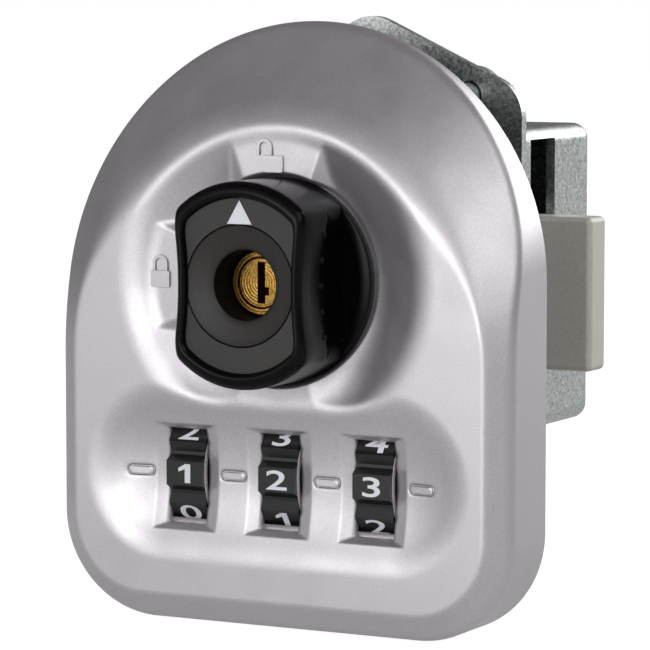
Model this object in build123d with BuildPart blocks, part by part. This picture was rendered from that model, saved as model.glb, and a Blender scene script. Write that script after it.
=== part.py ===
from build123d import *
from math import radians, sin, sqrt
import os

# A locker lock with three code wheels and a turn knob, held through a door.
# X is to the right as the user faces it, Y runs into the door and Z is up.
# The origin is on the knob's axis, in the plane where the face plate meets the door.

# Fits and small clearances
running = 0.05
seat_gap = 0.3
move_gap = 0.35
wide_gap = 0.45
cut_over = 0.1
sink = 0.2

# Code wheels
wheel_count = 3
wheel_pitch = 16.0
wheel_w = 6.3
lobe_count = 10
pad_r = 10.6
pad_w = 3.7
pad_proud = 0.8
groove_depth = 1.0
groove_w = 0.5
axle_r = 2.5
axle_chamfer = 0.3
sleeve_r = 5.4
gate_flange_r = 7.2
gate_flange_w = 3.0
gate_depth = 2.1

# Locking bar and its springs
bar_thick = 2.8
bar_beam_h = 2.7
bar_head_h = 4.49
bar_head_w = 4.4
bar_dip = 0.9
bar_tooth_w = 2.3
bar_end = 1.4
bar_spring_wire = 0.25
bar_spring_h = 4.6
bar_spring_turns = 5
bar_spring_share = 0.57

# Spindle and cams
spindle_r = 4.0
spindle_flange_r = 8.0
spindle_flange = 1.4
lock_cam_r = 9.0
lock_cam_w = 3.4
cam_set = 0.2
cam_notch_depth = 2.4
click_notch_r = 1.2
drive_cam_w = 3.0
drive_square = 6.0
bolt_throw = 9.5
crank_pin_r = 2.0
crank_wall = 0.5

# Click detent of the knob
plunger_r = 1.4
plunger_length = 4.0
plunger_round = 0.7
plunger_spring_r = 1.0
plunger_spring_wire = 0.2
plunger_spring_h = 3.7
plunger_spring_turns = 6
stopper_length = 3.0

# Face plate: a die-cast shell with a crowned front
plate_margin = 14.0
plate_below = 22.9
plate_corner = 16.0
plate_depth = 14.0
plate_wall = 2.2
crown_w = 3.5
crown_slope = 0.8
crown_edge = 1.2
plateau_z = -12.4
plateau_rim = 4.0

# Knob
knob_r = 15.4
knob_front = -25.0
skirt_thick = 1.0
knob_waist = 10.4
knob_side_r = 54.6
knob_flare = 2.8
knob_rim = 2.2
knob_corner = 1.5
knob_edge = 0.9
panel_inset = 2.5
panel_side_inset = 1.7
panel_depth = 1.0
panel_corner = 1.6
key_dish_r = 9.0
key_dish_depth = 1.5
key_recess = 7.4
scoop_r = 12.0
scoop_behind = 4.0
scoop_bite = 0.5
scoop_h = 19.0
bump_r = 0.6
bump_pitch = 3.75
bump_lift = 6.0
bump_count = 5
hub_r = 10.0
hub_tail = 1.0
ring_thick = 0.9
ring_proud = 1.5
ring_depth = 1.0
ring_opening = 50.0
arrow_gap = 0.1
arrow_h = 3.5
arrow_w = 4.1
arrow_thick = 0.5

# Key cylinder
barrel_r = 5.1
barrel_wall = 1.2
barrel_chamfer = 0.4
barrel_set_back = 0.2
plug_set_back = 0.25
plug_chamfer = 0.3
keyway_w = 1.3
keyway_h = 6.2
keyway_depth = 9.0

# Round dish for the knob
dish_air = 0.6
dish_slope_w = 8.8
dish_depth = 3.6
dish_wall = 2.8
dish_back_inset = 0.8
icon_pad_angle = 21.0
icon_pad_drop = 1.3
icon_pad_inset = 1.0
icon_height = 0.3
icon_shift = -0.9
icon_lift = 0.1
open_icon_in = 1.3
shut_icon_in = 4.0
icon_body_w = 3.3
icon_body_h = 2.5
icon_body_corner = 0.25
icon_shackle_r = 1.0
icon_line = 0.4
icon_leg = 0.9
icon_open_leg = 1.4
icon_open_gap = 0.5

# Trough with the wheel windows
trough_end_r = 11.7
trough_depth = 2.0
trough_wall = 1.5
window_play = 0.3
window_h = 14.2
window_flare = 2.0
window_lip = 0.95
flare_depth = 1.2
dash_l = 3.9
dash_w = 1.0
dash_height = 0.3

# Mechanism body behind the plate
body_wall = 2.0
body_floor = 1.7
body_air = 0.6
body_corner = 3.0
tab_out = 7.0
tab_h = 8.0
tab_thick = 2.5
tab_behind = 1.0
tab_high = 8.0
tab_below = 5.9
chamber_air = 0.5
body_screw_r = 1.5
body_screw_grip = 3.3
body_head_r = 2.8
body_head_h = 2.0
leaf_thick = 0.5
leaf_w = 4.0
leaf_base_h = 4.8
leaf_top = 4.0
leaf_bump_r = 1.0

# Door, rear flange and the screws through it
door_gap = 18.2
flange_thick = 1.6
ear_r = 6.5
ear_in = 5.6
ear_top_in = 5.9
ear_high = 1.6
ear_low = 9.5
fixing_r = 2.0
fixing_hole_play = 0.25
fixing_grip = 3.4
fixing_head_r = 4.6
fixing_head_h = 4.0
fixing_head_rim = 1.0
fixing_top_in = 4.9
fixing_side_in = 8.2
fixing_low_in = 6.0
post_r = 3.7

# Deadbolt
bolt_top = 8.3
bolt_bottom = -15.6
bolt_set = 0.9
bolt_thick = 6.0
bolt_out = 10.0
bolt_tail = -13.0
bolt_edge = 0.9

# Bolt case of folded sheet, the bolt's channel in it and the rivets
case_margin = 0.5
case_top = 22.0
case_bottom = -25.5
case_room = 13.7
case_sheet = 1.5
case_bend = 2.5
case_slot_before = 0.6
case_slot_behind = 2.5
case_slot_drop = 1.9
case_tab_in = 8.0
case_tab_w = 8.0
case_tab_h = 5.0
channel_sheet = 1.5
channel_in = 3.0
channel_foot = 5.0
foot_gap = 3.0
rivet_x = 6.0
rivet_r = 1.5
rivet_head_r = 2.3
rivet_head_h = 1.0
rivet_round = 0.7

os.makedirs("parts", exist_ok=True)

# Wheels, the bar above them and the body round them
lobe_r = sqrt(pad_r**2 + (pad_w / 2) ** 2)
wheel_spots = [(i - (wheel_count - 1) / 2) * wheel_pitch for i in range(wheel_count)]
bar_stack = bar_head_h + bar_beam_h + cam_notch_depth + wide_gap
wheel_z = -lock_cam_r - seat_gap - bar_stack - lobe_r
gate_start = wheel_w / 2
gate_end = gate_start + gate_flange_w
gate_middle = (gate_start + gate_end) / 2
teeth = [spot + gate_middle for spot in wheel_spots]
beam_bottom = wheel_z + lobe_r + cam_notch_depth + wide_gap
beam_top = beam_bottom + bar_beam_h
beam_left = teeth[0] - bar_end
beam_right = teeth[-1] + bar_end
bar_tip = wheel_z + gate_flange_r + seat_gap + bar_dip
bay_starts = [spot - gate_start - move_gap for spot in wheel_spots]
bay_ends = [spot + gate_end + move_gap for spot in wheel_spots]
bay_half = lobe_r + wide_gap
bay_floor = wheel_z - bay_half
spring_spots = [(bay_ends[i] + bay_starts[i + 1]) / 2 for i in range(wheel_count - 1)]
bar_spring_r = bar_spring_share * (bay_starts[1] - bay_ends[0]) / 2
body_half_w = bay_ends[-1] + body_wall
body_bottom = bay_floor - body_floor
tab_x = body_half_w + tab_out / 2
tab_heights = (tab_high, wheel_z - tab_below)
tab_spots = [(side * tab_x, z) for side in (-1, 1) for z in tab_heights]

# Plate, dish and trough in front of them
plate_r = body_half_w + plate_margin
plate_bottom = wheel_z - plate_below
plateau_r = plate_r - crown_w
plate_front = -plate_depth
cavity_front = plate_front + plate_wall
dish_floor_r = knob_r + dish_air
dish_r = dish_floor_r + dish_slope_w
dish_floor = plate_front + dish_depth
dish_back = dish_floor + dish_wall
icon_pad_y = plate_front + icon_pad_drop
open_icon_spot = (icon_shift, dish_floor_r + open_icon_in)
shut_icon_spot = (-dish_floor_r - shut_icon_in, icon_lift)
window_w = wheel_w + window_play
trough_run = wheel_spots[-1] + window_w / 2
trough_half = trough_run + trough_end_r
trough_floor = plate_front + trough_depth
trough_back = trough_floor + trough_wall
wheel_y = trough_floor - pad_proud + pad_r
bay_back = wheel_y + lobe_r + move_gap + leaf_bump_r + leaf_thick
body_front = dish_back + body_air
tab_y = body_front + tab_behind
body_screw_tip = tab_y - body_screw_grip

# Depths along the knob's axis
skirt_back = dish_floor - seat_gap
skirt_front = skirt_back - skirt_thick
ring_front = dish_back + seat_gap
hub_back = ring_front + ring_thick + hub_tail
panel_y = knob_front + panel_depth
arrow_base_z = key_dish_r + arrow_gap
scoop_y = knob_front + scoop_behind
bump_y = skirt_front - bump_lift
barrel_front = knob_front + key_recess
barrel_back = hub_back - barrel_set_back
plug_r = barrel_r - barrel_wall
plug_front = barrel_front + plug_set_back
cam_front = hub_back + spindle_flange + cam_set
cam_back = cam_front + lock_cam_w
chamber_r = hub_r + ring_proud + chamber_air
chamber_back = cam_back + body_air
plunger_y = (cam_front + cam_back) / 2
plunger_tip = lock_cam_r + seat_gap
spring_start = plunger_tip + plunger_length
stopper_start = spring_start + plunger_spring_h
body_top = stopper_start + stopper_length
flange_front = door_gap
flange_back = flange_front + flange_thick
drive_front = flange_back + seat_gap
drive_back = drive_front + drive_cam_w

# Bolt, channel and case behind the door
crank_r = bolt_throw / (2 * sin(radians(45)))
drive_cam_r = crank_r + crank_pin_r + crank_wall
pin_rest = crank_r * sin(radians(45))
bolt_front = drive_back + bolt_set
bolt_back = bolt_front + bolt_thick
channel_web = bolt_back + seat_gap
channel_top = bolt_top + seat_gap
channel_bottom = bolt_bottom - seat_gap
case_half_w = body_half_w + case_margin
case_back = channel_web + channel_sheet + case_room + case_sheet
case_inner_top = case_top - case_sheet
case_inner_bottom = case_bottom + case_sheet
case_slot_front = bolt_front - case_slot_before
case_slot_back = bolt_back + case_slot_behind
case_slot_top = case_top - case_slot_drop
channel_half = case_half_w - channel_in
case_tab_x = case_half_w - case_tab_in
channel_foot_half = case_tab_x - case_tab_w / 2 - foot_gap
bolt_nose = case_half_w + bolt_out
foot_out = channel_sheet + channel_foot / 2
foot_middles = (channel_top + foot_out, channel_bottom - foot_out)
tab_middles = (case_inner_top - case_tab_h / 2, case_inner_bottom + case_tab_h / 2)
channel_rivet_spots = [(side * rivet_x, z) for side in (-1, 1) for z in foot_middles]
case_rivet_spots = [(side * case_tab_x, z) for side in (-1, 1) for z in tab_middles]

# Screw places, the same in the flange and in the plate's posts, and the flange's ears
fixing_side_x = case_half_w - fixing_side_in
fixing_side_z = case_top + fixing_head_r + move_gap
fixing_low_z = plate_bottom + fixing_low_in
fixing_spots = [(0, plate_r - fixing_top_in), (0, fixing_low_z)]
fixing_spots += [(side * fixing_side_x, fixing_side_z) for side in (-1, 1)]
ear_x = case_half_w - ear_in
ear_spots = [(0, plate_r - ear_top_in), (0, fixing_low_z)]
ear_spots += [(side * ear_x, z) for side in (-1, 1) for z in (case_top + ear_high, case_bottom - ear_low)]


def at_y(y):
    """Plane facing the user at depth y: its x is X and its y is Z."""
    return Plane.XZ.offset(-y)


def at_x(x):
    """Plane facing right at x: its x is Y and its y is Z."""
    return Plane.YZ.offset(x)


def arch(radius, centre_z, bottom_z, corner):
    """Outline with a half-round top, straight sides and rounded bottom corners."""
    inner = radius - corner
    low = bottom_z + corner
    lean = corner * sin(radians(45))
    with BuildSketch(Plane.XY) as outline:
        with BuildLine():
            ThreePointArc((-radius, centre_z), (0, centre_z + radius), (radius, centre_z))
            Line((radius, centre_z), (radius, low))
            ThreePointArc((radius, low), (inner + lean, low - lean), (inner, bottom_z))
            Line((inner, bottom_z), (-inner, bottom_z))
            ThreePointArc((-inner, bottom_z), (-inner - lean, low - lean), (-radius, low))
            Line((-radius, low), (-radius, centre_z))
        make_face()
    return outline.sketch


def crowned_form(inset, front, edge_inset):
    """Plate shape: a flat plateau, a sloping crown round it and an upright side wall."""
    spread = -front / crown_slope
    flat_r = plateau_r - edge_inset
    flat_bottom = plate_bottom + plateau_rim + edge_inset
    flat_corner = plate_corner - plateau_rim
    with BuildPart() as form:
        with BuildSketch(at_y(front)):
            add(arch(flat_r, plateau_z, flat_bottom, flat_corner))
        with BuildSketch(at_y(0)):
            add(arch(flat_r + spread, plateau_z, flat_bottom - spread, flat_corner + spread))
        loft(ruled=True)
        with BuildSketch(at_y(0)):
            add(arch(plate_r - inset, 0, plate_bottom + inset, plate_corner - inset))
        extrude(amount=-front, mode=Mode.INTERSECT)
    return form.part


def ring_sector(inner, outer, angle, middle):
    """Sketch of a ring's sector, centred on the angle called middle."""
    sides = [Vector(1, 0).rotate(Axis.Z, middle + turn) for turn in (-angle, angle)]
    with BuildSketch(Plane.XY) as sector:
        with BuildLine():
            CenterArc((0, 0), inner, middle - angle, 2 * angle)
            CenterArc((0, 0), outer, middle - angle, 2 * angle)
            for side in sides:
                Line(side * inner, side * outer)
        make_face()
    return sector.sketch


def padlock_icon(swing):
    """Small padlock seen from the front: a body and a shackle, moved sideways by swing if open."""
    outer_r = icon_shackle_r + icon_line / 2
    leg = icon_open_leg if swing else icon_leg
    top = icon_body_h / 2 + leg
    with BuildSketch(Plane.XY) as icon:
        with Locations((swing, top)):
            Circle(outer_r)
            Circle(outer_r - icon_line, mode=Mode.SUBTRACT)
        with Locations((swing, top - outer_r)):
            Rectangle(2 * outer_r, 2 * outer_r, mode=Mode.SUBTRACT)
        for side in (-1, 1):
            foot = icon_body_h / 2 + (icon_open_gap if swing and side < 0 else -sink)
            with Locations((swing + side * icon_shackle_r, (foot + top) / 2)):
                Rectangle(icon_line, top - foot)
        RectangleRounded(icon_body_w, icon_body_h, icon_body_corner)
    return icon.sketch


# Face plate
plate_solid = crowned_form(0, plate_front, 0)
plate_hollow = crowned_form(plate_wall, cavity_front, crown_edge)

with BuildPart() as plate_backing:
    with BuildSketch(at_y(dish_back)):
        Circle(dish_r - dish_back_inset)
    extrude(amount=dish_back - cavity_front + plate_wall / 2)
    with BuildSketch(at_y(trough_back)):
        with Locations((0, wheel_z)):
            SlotOverall(2 * trough_half, 2 * trough_end_r)
    extrude(amount=trough_back - cavity_front + plate_wall / 2)
    with BuildSketch(at_y(0)):
        with Locations(*fixing_spots):
            Circle(post_r)
    extrude(amount=plate_depth)
    with BuildSketch(at_y(tab_y)):
        with Locations(*tab_spots):
            Circle(2 * body_screw_r)
    extrude(amount=tab_y - cavity_front + plate_wall / 2)
    add(plate_solid, mode=Mode.INTERSECT)

trough_r = (trough_end_r**2 + trough_depth**2) / (2 * trough_depth)
trough_axis_y = trough_floor - trough_r

with BuildPart() as trough_tool:
    with BuildSketch(at_x(-trough_run)):
        with Locations((trough_axis_y, wheel_z)):
            Circle(trough_r)
    extrude(amount=2 * trough_run)
    with Locations((-trough_run, trough_axis_y, wheel_z), (trough_run, trough_axis_y, wheel_z)):
        Sphere(trough_r)

with BuildPart() as face_plate:
    add(plate_solid)
    add(plate_hollow, mode=Mode.SUBTRACT)
    add(plate_backing.part)
    with BuildSketch(Plane.XY):
        with BuildLine():
            lip_out = skirt_thick * dish_slope_w / dish_depth
            Polyline(
                (0, dish_floor),
                (dish_floor_r, dish_floor),
                (dish_r, plate_front),
                (dish_r + lip_out, plate_front - skirt_thick),
                (0, plate_front - skirt_thick),
                close=True,
            )
        make_face()
    revolve(axis=Axis.Y, mode=Mode.SUBTRACT)
    add(trough_tool.part, mode=Mode.SUBTRACT)
    # The windows flare towards the user and open straight through behind
    window_front = trough_floor - (trough_r - sqrt(trough_r**2 - (window_h / 2) ** 2))
    flare_back = window_front + flare_depth
    for spot in wheel_spots:
        with BuildSketch(at_y(flare_back)):
            with Locations((spot, wheel_z)):
                Rectangle(window_w, window_h)
        with BuildSketch(at_y(flare_back - 2 * flare_depth)):
            with Locations((spot, wheel_z)):
                Rectangle(window_w + 4 * window_flare, window_h + 4 * window_lip)
        loft(ruled=True, mode=Mode.SUBTRACT)
        with BuildSketch(at_y(trough_back + cut_over)):
            with Locations((spot, wheel_z)):
                Rectangle(window_w, window_h)
        extrude(amount=trough_back - flare_back + 2 * cut_over, mode=Mode.SUBTRACT)
        with BuildSketch(at_x(spot - window_w / 2)):
            with Locations((wheel_y, wheel_z)):
                Circle(lobe_r + move_gap)
        extrude(amount=window_w, mode=Mode.SUBTRACT)
    # Pads for the two marks, then the marks and the dashes beside the wheels
    with BuildSketch(at_y(dish_floor)):
        add(ring_sector(dish_floor_r, dish_r - icon_pad_inset, icon_pad_angle, 90))
        add(ring_sector(dish_floor_r, dish_r - icon_pad_inset, icon_pad_angle, 180))
    extrude(amount=dish_depth - icon_pad_drop)
    with BuildSketch(at_y(icon_pad_y)):
        with Locations(open_icon_spot):
            add(padlock_icon(-icon_shackle_r))
        with Locations(shut_icon_spot):
            add(padlock_icon(0))
    extrude(amount=icon_height)
    dash_spots = [(wheel_pitch * (i - wheel_count / 2), wheel_z) for i in range(wheel_count + 1)]
    with BuildSketch(at_y(trough_floor + sink)):
        with Locations(*dash_spots):
            SlotOverall(dash_l, dash_w)
    extrude(amount=dash_height + sink)
    # Bore for the knob's hub and tapped holes in the posts
    with BuildSketch(at_y(dish_back)):
        Circle(hub_r + running)
    extrude(amount=dish_wall, mode=Mode.SUBTRACT)
    with BuildSketch(at_y(0)):
        with Locations(*fixing_spots):
            Circle(fixing_r + running)
    extrude(amount=fixing_grip + cut_over, mode=Mode.SUBTRACT)
    with BuildSketch(at_y(tab_y)):
        with Locations(*tab_spots):
            Circle(body_screw_r + running)
    extrude(amount=body_screw_grip + cut_over, mode=Mode.SUBTRACT)
face_plate.part.label = "face_plate"
export_step(face_plate.part, "parts/face_plate.step")


# Knob, moulded in one piece with a hub that runs in the plate
scoop_x = knob_waist - scoop_bite + scoop_r
arrow_points = ((-arrow_w / 2, arrow_base_z), (arrow_w / 2, arrow_base_z), (0, arrow_base_z + arrow_h))


def grip_outline(waist, radius, corner):
    """Round outline with two hollow sides that come in to the waist."""
    side = waist + knob_side_r
    with BuildSketch(Plane.XY) as outline:
        Circle(radius)
        with Locations((-side, 0), (side, 0)):
            Circle(knob_side_r, mode=Mode.SUBTRACT)
        fillet(outline.vertices(), corner)
    return outline.sketch


with BuildPart() as scoop_cut:
    with BuildSketch(Plane.XY.offset(-scoop_h / 2)):
        with Locations((scoop_x, scoop_y)):
            Circle(scoop_r)
    extrude(amount=scoop_h)
    with BuildSketch(at_y(skirt_front)):
        Circle(2 * knob_r)
    extrude(amount=skirt_front - knob_front - knob_rim, mode=Mode.INTERSECT)

with BuildPart() as knob:
    with BuildSketch(at_y(knob_front)):
        add(grip_outline(knob_waist, knob_r, knob_corner))
    with BuildSketch(at_y(skirt_front)):
        add(grip_outline(knob_waist + knob_flare, knob_r, knob_corner))
    loft(ruled=True)
    fillet(faces().sort_by(Axis.Y)[0].edges(), knob_edge)
    with BuildSketch(at_y(skirt_back)):
        Circle(knob_r)
    extrude(amount=skirt_thick)
    with BuildSketch(at_y(hub_back)):
        Circle(hub_r)
    extrude(amount=hub_back - skirt_back)
    add(scoop_cut.part, mode=Mode.SUBTRACT)
    add(mirror(scoop_cut.part, about=Plane.YZ, mode=Mode.PRIVATE), mode=Mode.SUBTRACT)
    # Sunk front panel, a shallow dish round the key hole and the hole itself
    with BuildSketch(at_y(panel_y)):
        add(grip_outline(knob_waist - panel_side_inset, knob_r - panel_inset, panel_corner))
    extrude(amount=panel_depth + cut_over, mode=Mode.SUBTRACT)
    with BuildSketch(Plane.XY):
        with BuildLine():
            Polyline(
                (0, panel_y - cut_over),
                (key_dish_r, panel_y - cut_over),
                (key_dish_r, panel_y),
                (barrel_r + running, panel_y + key_dish_depth),
                (0, panel_y + key_dish_depth),
                close=True,
            )
        make_face()
    revolve(axis=Axis.Y, mode=Mode.SUBTRACT)
    with BuildSketch(at_y(hub_back)):
        Circle(barrel_r + running)
    extrude(amount=hub_back - knob_front, mode=Mode.SUBTRACT)
    # Groove for the retaining ring
    with BuildSketch(at_y(ring_front + ring_thick + running)):
        Circle(hub_r + ring_depth)
        Circle(hub_r - ring_depth, mode=Mode.SUBTRACT)
    extrude(amount=ring_thick + 2 * running, mode=Mode.SUBTRACT)
    # Pocket for the pointer
    with BuildSketch(at_y(panel_y + arrow_thick)):
        Polygon(*arrow_points, align=None)
    extrude(amount=arrow_thick, mode=Mode.SUBTRACT)
    # Grip bumps in each finger scoop
    bump_x = scoop_x - sqrt(scoop_r**2 - (bump_y - scoop_y) ** 2)
    bump_spots = [
        (side * bump_x, bump_y, bump_pitch * (i - (bump_count - 1) / 2))
        for side in (-1, 1)
        for i in range(bump_count)
    ]
    with Locations(*bump_spots):
        Sphere(bump_r)
knob.part.label = "knob"
export_step(knob.part, "parts/knob.step")


# White pointer set flush into the knob's front
with BuildPart() as pointer_inlay:
    with BuildSketch(at_y(panel_y + arrow_thick)):
        Polygon(*arrow_points, align=None)
    extrude(amount=arrow_thick)
pointer_inlay.part.label = "pointer_inlay"
export_step(pointer_inlay.part, "parts/pointer_inlay.step")


# Key cylinder: a turned brass barrel fixed in the knob, and the plug that the key turns
with BuildPart() as cylinder_barrel:
    with BuildSketch(at_y(barrel_back)):
        Circle(barrel_r)
        Circle(plug_r + running, mode=Mode.SUBTRACT)
    extrude(amount=barrel_back - barrel_front)
    front_edges = edges().filter_by(GeomType.CIRCLE).group_by(Axis.Y)[0]
    chamfer(front_edges.sort_by(SortBy.RADIUS)[-1], barrel_chamfer)
cylinder_barrel.part.label = "cylinder_barrel"
export_step(cylinder_barrel.part, "parts/cylinder_barrel.step")

with BuildPart() as cylinder_plug:
    with BuildSketch(at_y(barrel_back)):
        Circle(plug_r)
    extrude(amount=barrel_back - plug_front)
    chamfer(edges().filter_by(GeomType.CIRCLE).group_by(Axis.Y)[0], plug_chamfer)
    with BuildSketch(at_y(plug_front + keyway_depth)):
        Rectangle(keyway_w, keyway_h)
        with Locations((keyway_w / 2, -keyway_h / 5)):
            Rectangle(keyway_w, keyway_h / 5)
    extrude(amount=keyway_depth + cut_over, mode=Mode.SUBTRACT)
cylinder_plug.part.label = "cylinder_plug"
export_step(cylinder_plug.part, "parts/cylinder_plug.step")


# Open ring in the hub's groove, which keeps the knob in the plate
with BuildPart() as retaining_ring:
    with BuildSketch(at_y(ring_front + ring_thick)):
        add(ring_sector(hub_r - ring_depth + running, hub_r + ring_proud, 180 - ring_opening / 2, 90))
    extrude(amount=ring_thick)
retaining_ring.part.label = "retaining_ring"
export_step(retaining_ring.part, "parts/retaining_ring.step")


def squared_shaft(radius, across):
    """Round shaft section with four flats."""
    with BuildSketch(Plane.XY) as section:
        Circle(radius)
        Rectangle(across, across, mode=Mode.INTERSECT)
    return section.sketch


# Spindle: a flange against the hub, a round shaft and a squared end
with BuildPart() as spindle:
    with BuildSketch(at_y(hub_back + spindle_flange)):
        Circle(spindle_flange_r)
    extrude(amount=spindle_flange)
    with BuildSketch(at_y(drive_front)):
        Circle(spindle_r)
    extrude(amount=drive_front - hub_back - spindle_flange)
    with BuildSketch(at_y(drive_back)):
        add(squared_shaft(spindle_r, drive_square))
    extrude(amount=drive_cam_w)
spindle.part.label = "spindle"
export_step(spindle.part, "parts/spindle.step")


# Locking cam: a disc with notches for the bar and for the click detent at both ends of the knob's turn
bar_notch_w = bar_head_w + 2 * wide_gap

with BuildPart() as locking_cam:
    with BuildSketch(at_y(cam_back)):
        Circle(lock_cam_r)
        Circle(spindle_r + running, mode=Mode.SUBTRACT)
        with Locations((0, -lock_cam_r)):
            Rectangle(bar_notch_w, 2 * cam_notch_depth, mode=Mode.SUBTRACT)
        with Locations((-lock_cam_r, 0)):
            Rectangle(2 * cam_notch_depth, bar_notch_w, mode=Mode.SUBTRACT)
        with Locations((0, lock_cam_r), (lock_cam_r, 0)):
            Circle(click_notch_r, mode=Mode.SUBTRACT)
    extrude(amount=lock_cam_w)
locking_cam.part.label = "locking_cam"
export_step(locking_cam.part, "parts/locking_cam.step")


# Drive cam with the crank pin that moves the bolt
with BuildPart() as drive_cam:
    with BuildSketch(at_y(drive_back)):
        Circle(drive_cam_r)
        add(squared_shaft(spindle_r + running, drive_square + 2 * running), mode=Mode.SUBTRACT)
    extrude(amount=drive_cam_w)
    with BuildSketch(at_y(bolt_back - 2 * running)):
        with Locations((-pin_rest, -pin_rest)):
            Circle(crank_pin_r)
    extrude(amount=bolt_back - 2 * running - drive_back)
drive_cam.part.label = "drive_cam"
export_step(drive_cam.part, "parts/drive_cam.step")


# Locking bar: a stamped bar with one tooth for each gate and a head under the cam
head_top = -lock_cam_r - seat_gap

with BuildPart() as locking_bar:
    with BuildSketch(at_y(wheel_y + bar_thick / 2)):
        with Locations(((beam_left + beam_right) / 2, (beam_bottom + beam_top) / 2)):
            Rectangle(beam_right - beam_left, bar_beam_h)
        with Locations((0, (beam_top + head_top) / 2)):
            Rectangle(bar_head_w, head_top - beam_top)
        with Locations(*[(x, (beam_bottom + bar_tip) / 2) for x in teeth]):
            Rectangle(bar_tooth_w, beam_bottom - bar_tip)
    extrude(amount=bar_thick)
locking_bar.part.label = "locking_bar"
export_step(locking_bar.part, "parts/locking_bar.step")


def coil(radius, wire, height, turns):
    """Open coil spring standing on Z, from 0 to height."""
    rise = height - 2 * wire
    with BuildPart() as spring:
        with BuildLine() as path:
            Helix(pitch=rise / turns, height=rise, radius=radius)
        with BuildSketch(Plane(path.line @ 0, z_dir=path.line % 0)):
            Circle(wire)
        sweep(is_frenet=True)
    return spring.part.moved(Location((0, 0, wire)))


# Two coil springs that lift the locking bar
bar_coil = coil(bar_spring_r, bar_spring_wire, bar_spring_h, bar_spring_turns)

with BuildPart() as bar_springs:
    with Locations(*[(x, wheel_y, beam_bottom - bar_spring_h) for x in spring_spots]):
        add(bar_coil)
bar_springs.part.label = "bar_springs"
export_step(bar_springs.part, "parts/bar_springs.step")


# Mechanism body: one moulding with bays for the wheels, behind the plate
body_middle = (body_top + body_bottom) / 2
channel_back = wheel_y + bar_thick / 2 + seat_gap
dip_floor = beam_bottom - cam_notch_depth - move_gap

with BuildPart() as mechanism_body:
    with BuildSketch(at_y(flange_front)):
        with Locations((0, body_middle)):
            RectangleRounded(2 * body_half_w, body_top - body_bottom, body_corner)
    extrude(amount=flange_front - body_front)
    with BuildSketch(at_y(tab_y + tab_thick)):
        with Locations(*[(0, z) for z in tab_heights]):
            Rectangle(2 * (body_half_w + tab_out), tab_h)
    extrude(amount=tab_thick)
    with BuildSketch(at_y(tab_y + tab_thick)):
        with Locations(*tab_spots):
            Circle(body_screw_r + running)
    extrude(amount=tab_thick, mode=Mode.SUBTRACT)
    with BuildSketch(at_y(chamber_back)):
        Circle(chamber_r)
    extrude(amount=chamber_back - body_front, mode=Mode.SUBTRACT)
    with BuildSketch(at_y(flange_front)):
        Circle(spindle_r + running)
    extrude(amount=flange_front - chamber_back, mode=Mode.SUBTRACT)
    for start, end in zip(bay_starts, bay_ends):
        with BuildSketch(at_y(bay_back)):
            with Locations(((start + end) / 2, wheel_z)):
                Rectangle(end - start, 2 * bay_half)
        extrude(amount=bay_back - body_front, mode=Mode.SUBTRACT)
    with BuildSketch(at_x(-body_half_w)):
        with Locations((wheel_y, wheel_z)):
            Circle(axle_r + running)
    extrude(amount=2 * body_half_w, mode=Mode.SUBTRACT)
    # Channel for the locking bar, open to the cam's chamber above
    with BuildSketch(at_y(channel_back)):
        channel_w = beam_right - beam_left + 2 * move_gap
        with Locations(((beam_left + beam_right) / 2, (dip_floor + beam_top + move_gap) / 2)):
            Rectangle(channel_w, beam_top + move_gap - dip_floor)
        with Locations((0, beam_top / 2)):
            Rectangle(bar_head_w + 2 * move_gap, -beam_top)
    extrude(amount=channel_back - body_front, mode=Mode.SUBTRACT)
    with BuildSketch(Plane.XY.offset(beam_bottom - bar_spring_h)):
        with Locations(*[(x, wheel_y) for x in spring_spots]):
            Circle(bar_spring_r + bar_spring_wire + seat_gap)
    extrude(amount=bar_spring_h, mode=Mode.SUBTRACT)
    # Slot for the leaf spring's base, and the bore of the click detent
    with BuildSketch(at_y(bay_back)):
        with Locations(((bay_starts[0] + bay_ends[-1]) / 2, bay_floor + leaf_base_h / 2 + seat_gap / 2)):
            Rectangle(bay_ends[-1] - bay_starts[0], leaf_base_h + seat_gap)
    extrude(amount=leaf_thick + running, mode=Mode.SUBTRACT)
    with BuildSketch(Plane.XY):
        with Locations((0, plunger_y)):
            Circle(plunger_r + running)
    extrude(amount=body_top, mode=Mode.SUBTRACT)
mechanism_body.part.label = "mechanism_body"
export_step(mechanism_body.part, "parts/mechanism_body.step")


# Click detent above the cam: a plunger, its spring and the stopper that closes the bore
with BuildPart() as detent_plunger:
    with BuildSketch(Plane.XY.offset(plunger_tip)):
        with Locations((0, plunger_y)):
            Circle(plunger_r)
    extrude(amount=plunger_length)
    fillet(edges().filter_by(GeomType.CIRCLE).sort_by(Axis.Z)[0], plunger_round)
detent_plunger.part.label = "detent_plunger"
export_step(detent_plunger.part, "parts/detent_plunger.step")

plunger_coil = coil(plunger_spring_r, plunger_spring_wire, plunger_spring_h, plunger_spring_turns)

with BuildPart() as plunger_spring:
    with Locations((0, plunger_y, spring_start)):
        add(plunger_coil)
plunger_spring.part.label = "plunger_spring"
export_step(plunger_spring.part, "parts/plunger_spring.step")

with BuildPart() as plunger_stopper:
    with BuildSketch(Plane.XY.offset(stopper_start)):
        with Locations((0, plunger_y)):
            Circle(plunger_r)
    extrude(amount=stopper_length)
plunger_stopper.part.label = "plunger_stopper"
export_step(plunger_stopper.part, "parts/plunger_stopper.step")


# Axle for the wheels
with BuildPart() as wheel_axle:
    with BuildSketch(at_x(-body_half_w)):
        with Locations((wheel_y, wheel_z)):
            Circle(axle_r)
    extrude(amount=2 * body_half_w)
    chamfer(edges().filter_by(GeomType.CIRCLE), axle_chamfer)
wheel_axle.part.label = "wheel_axle"
export_step(wheel_axle.part, "parts/wheel_axle.step")


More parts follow.
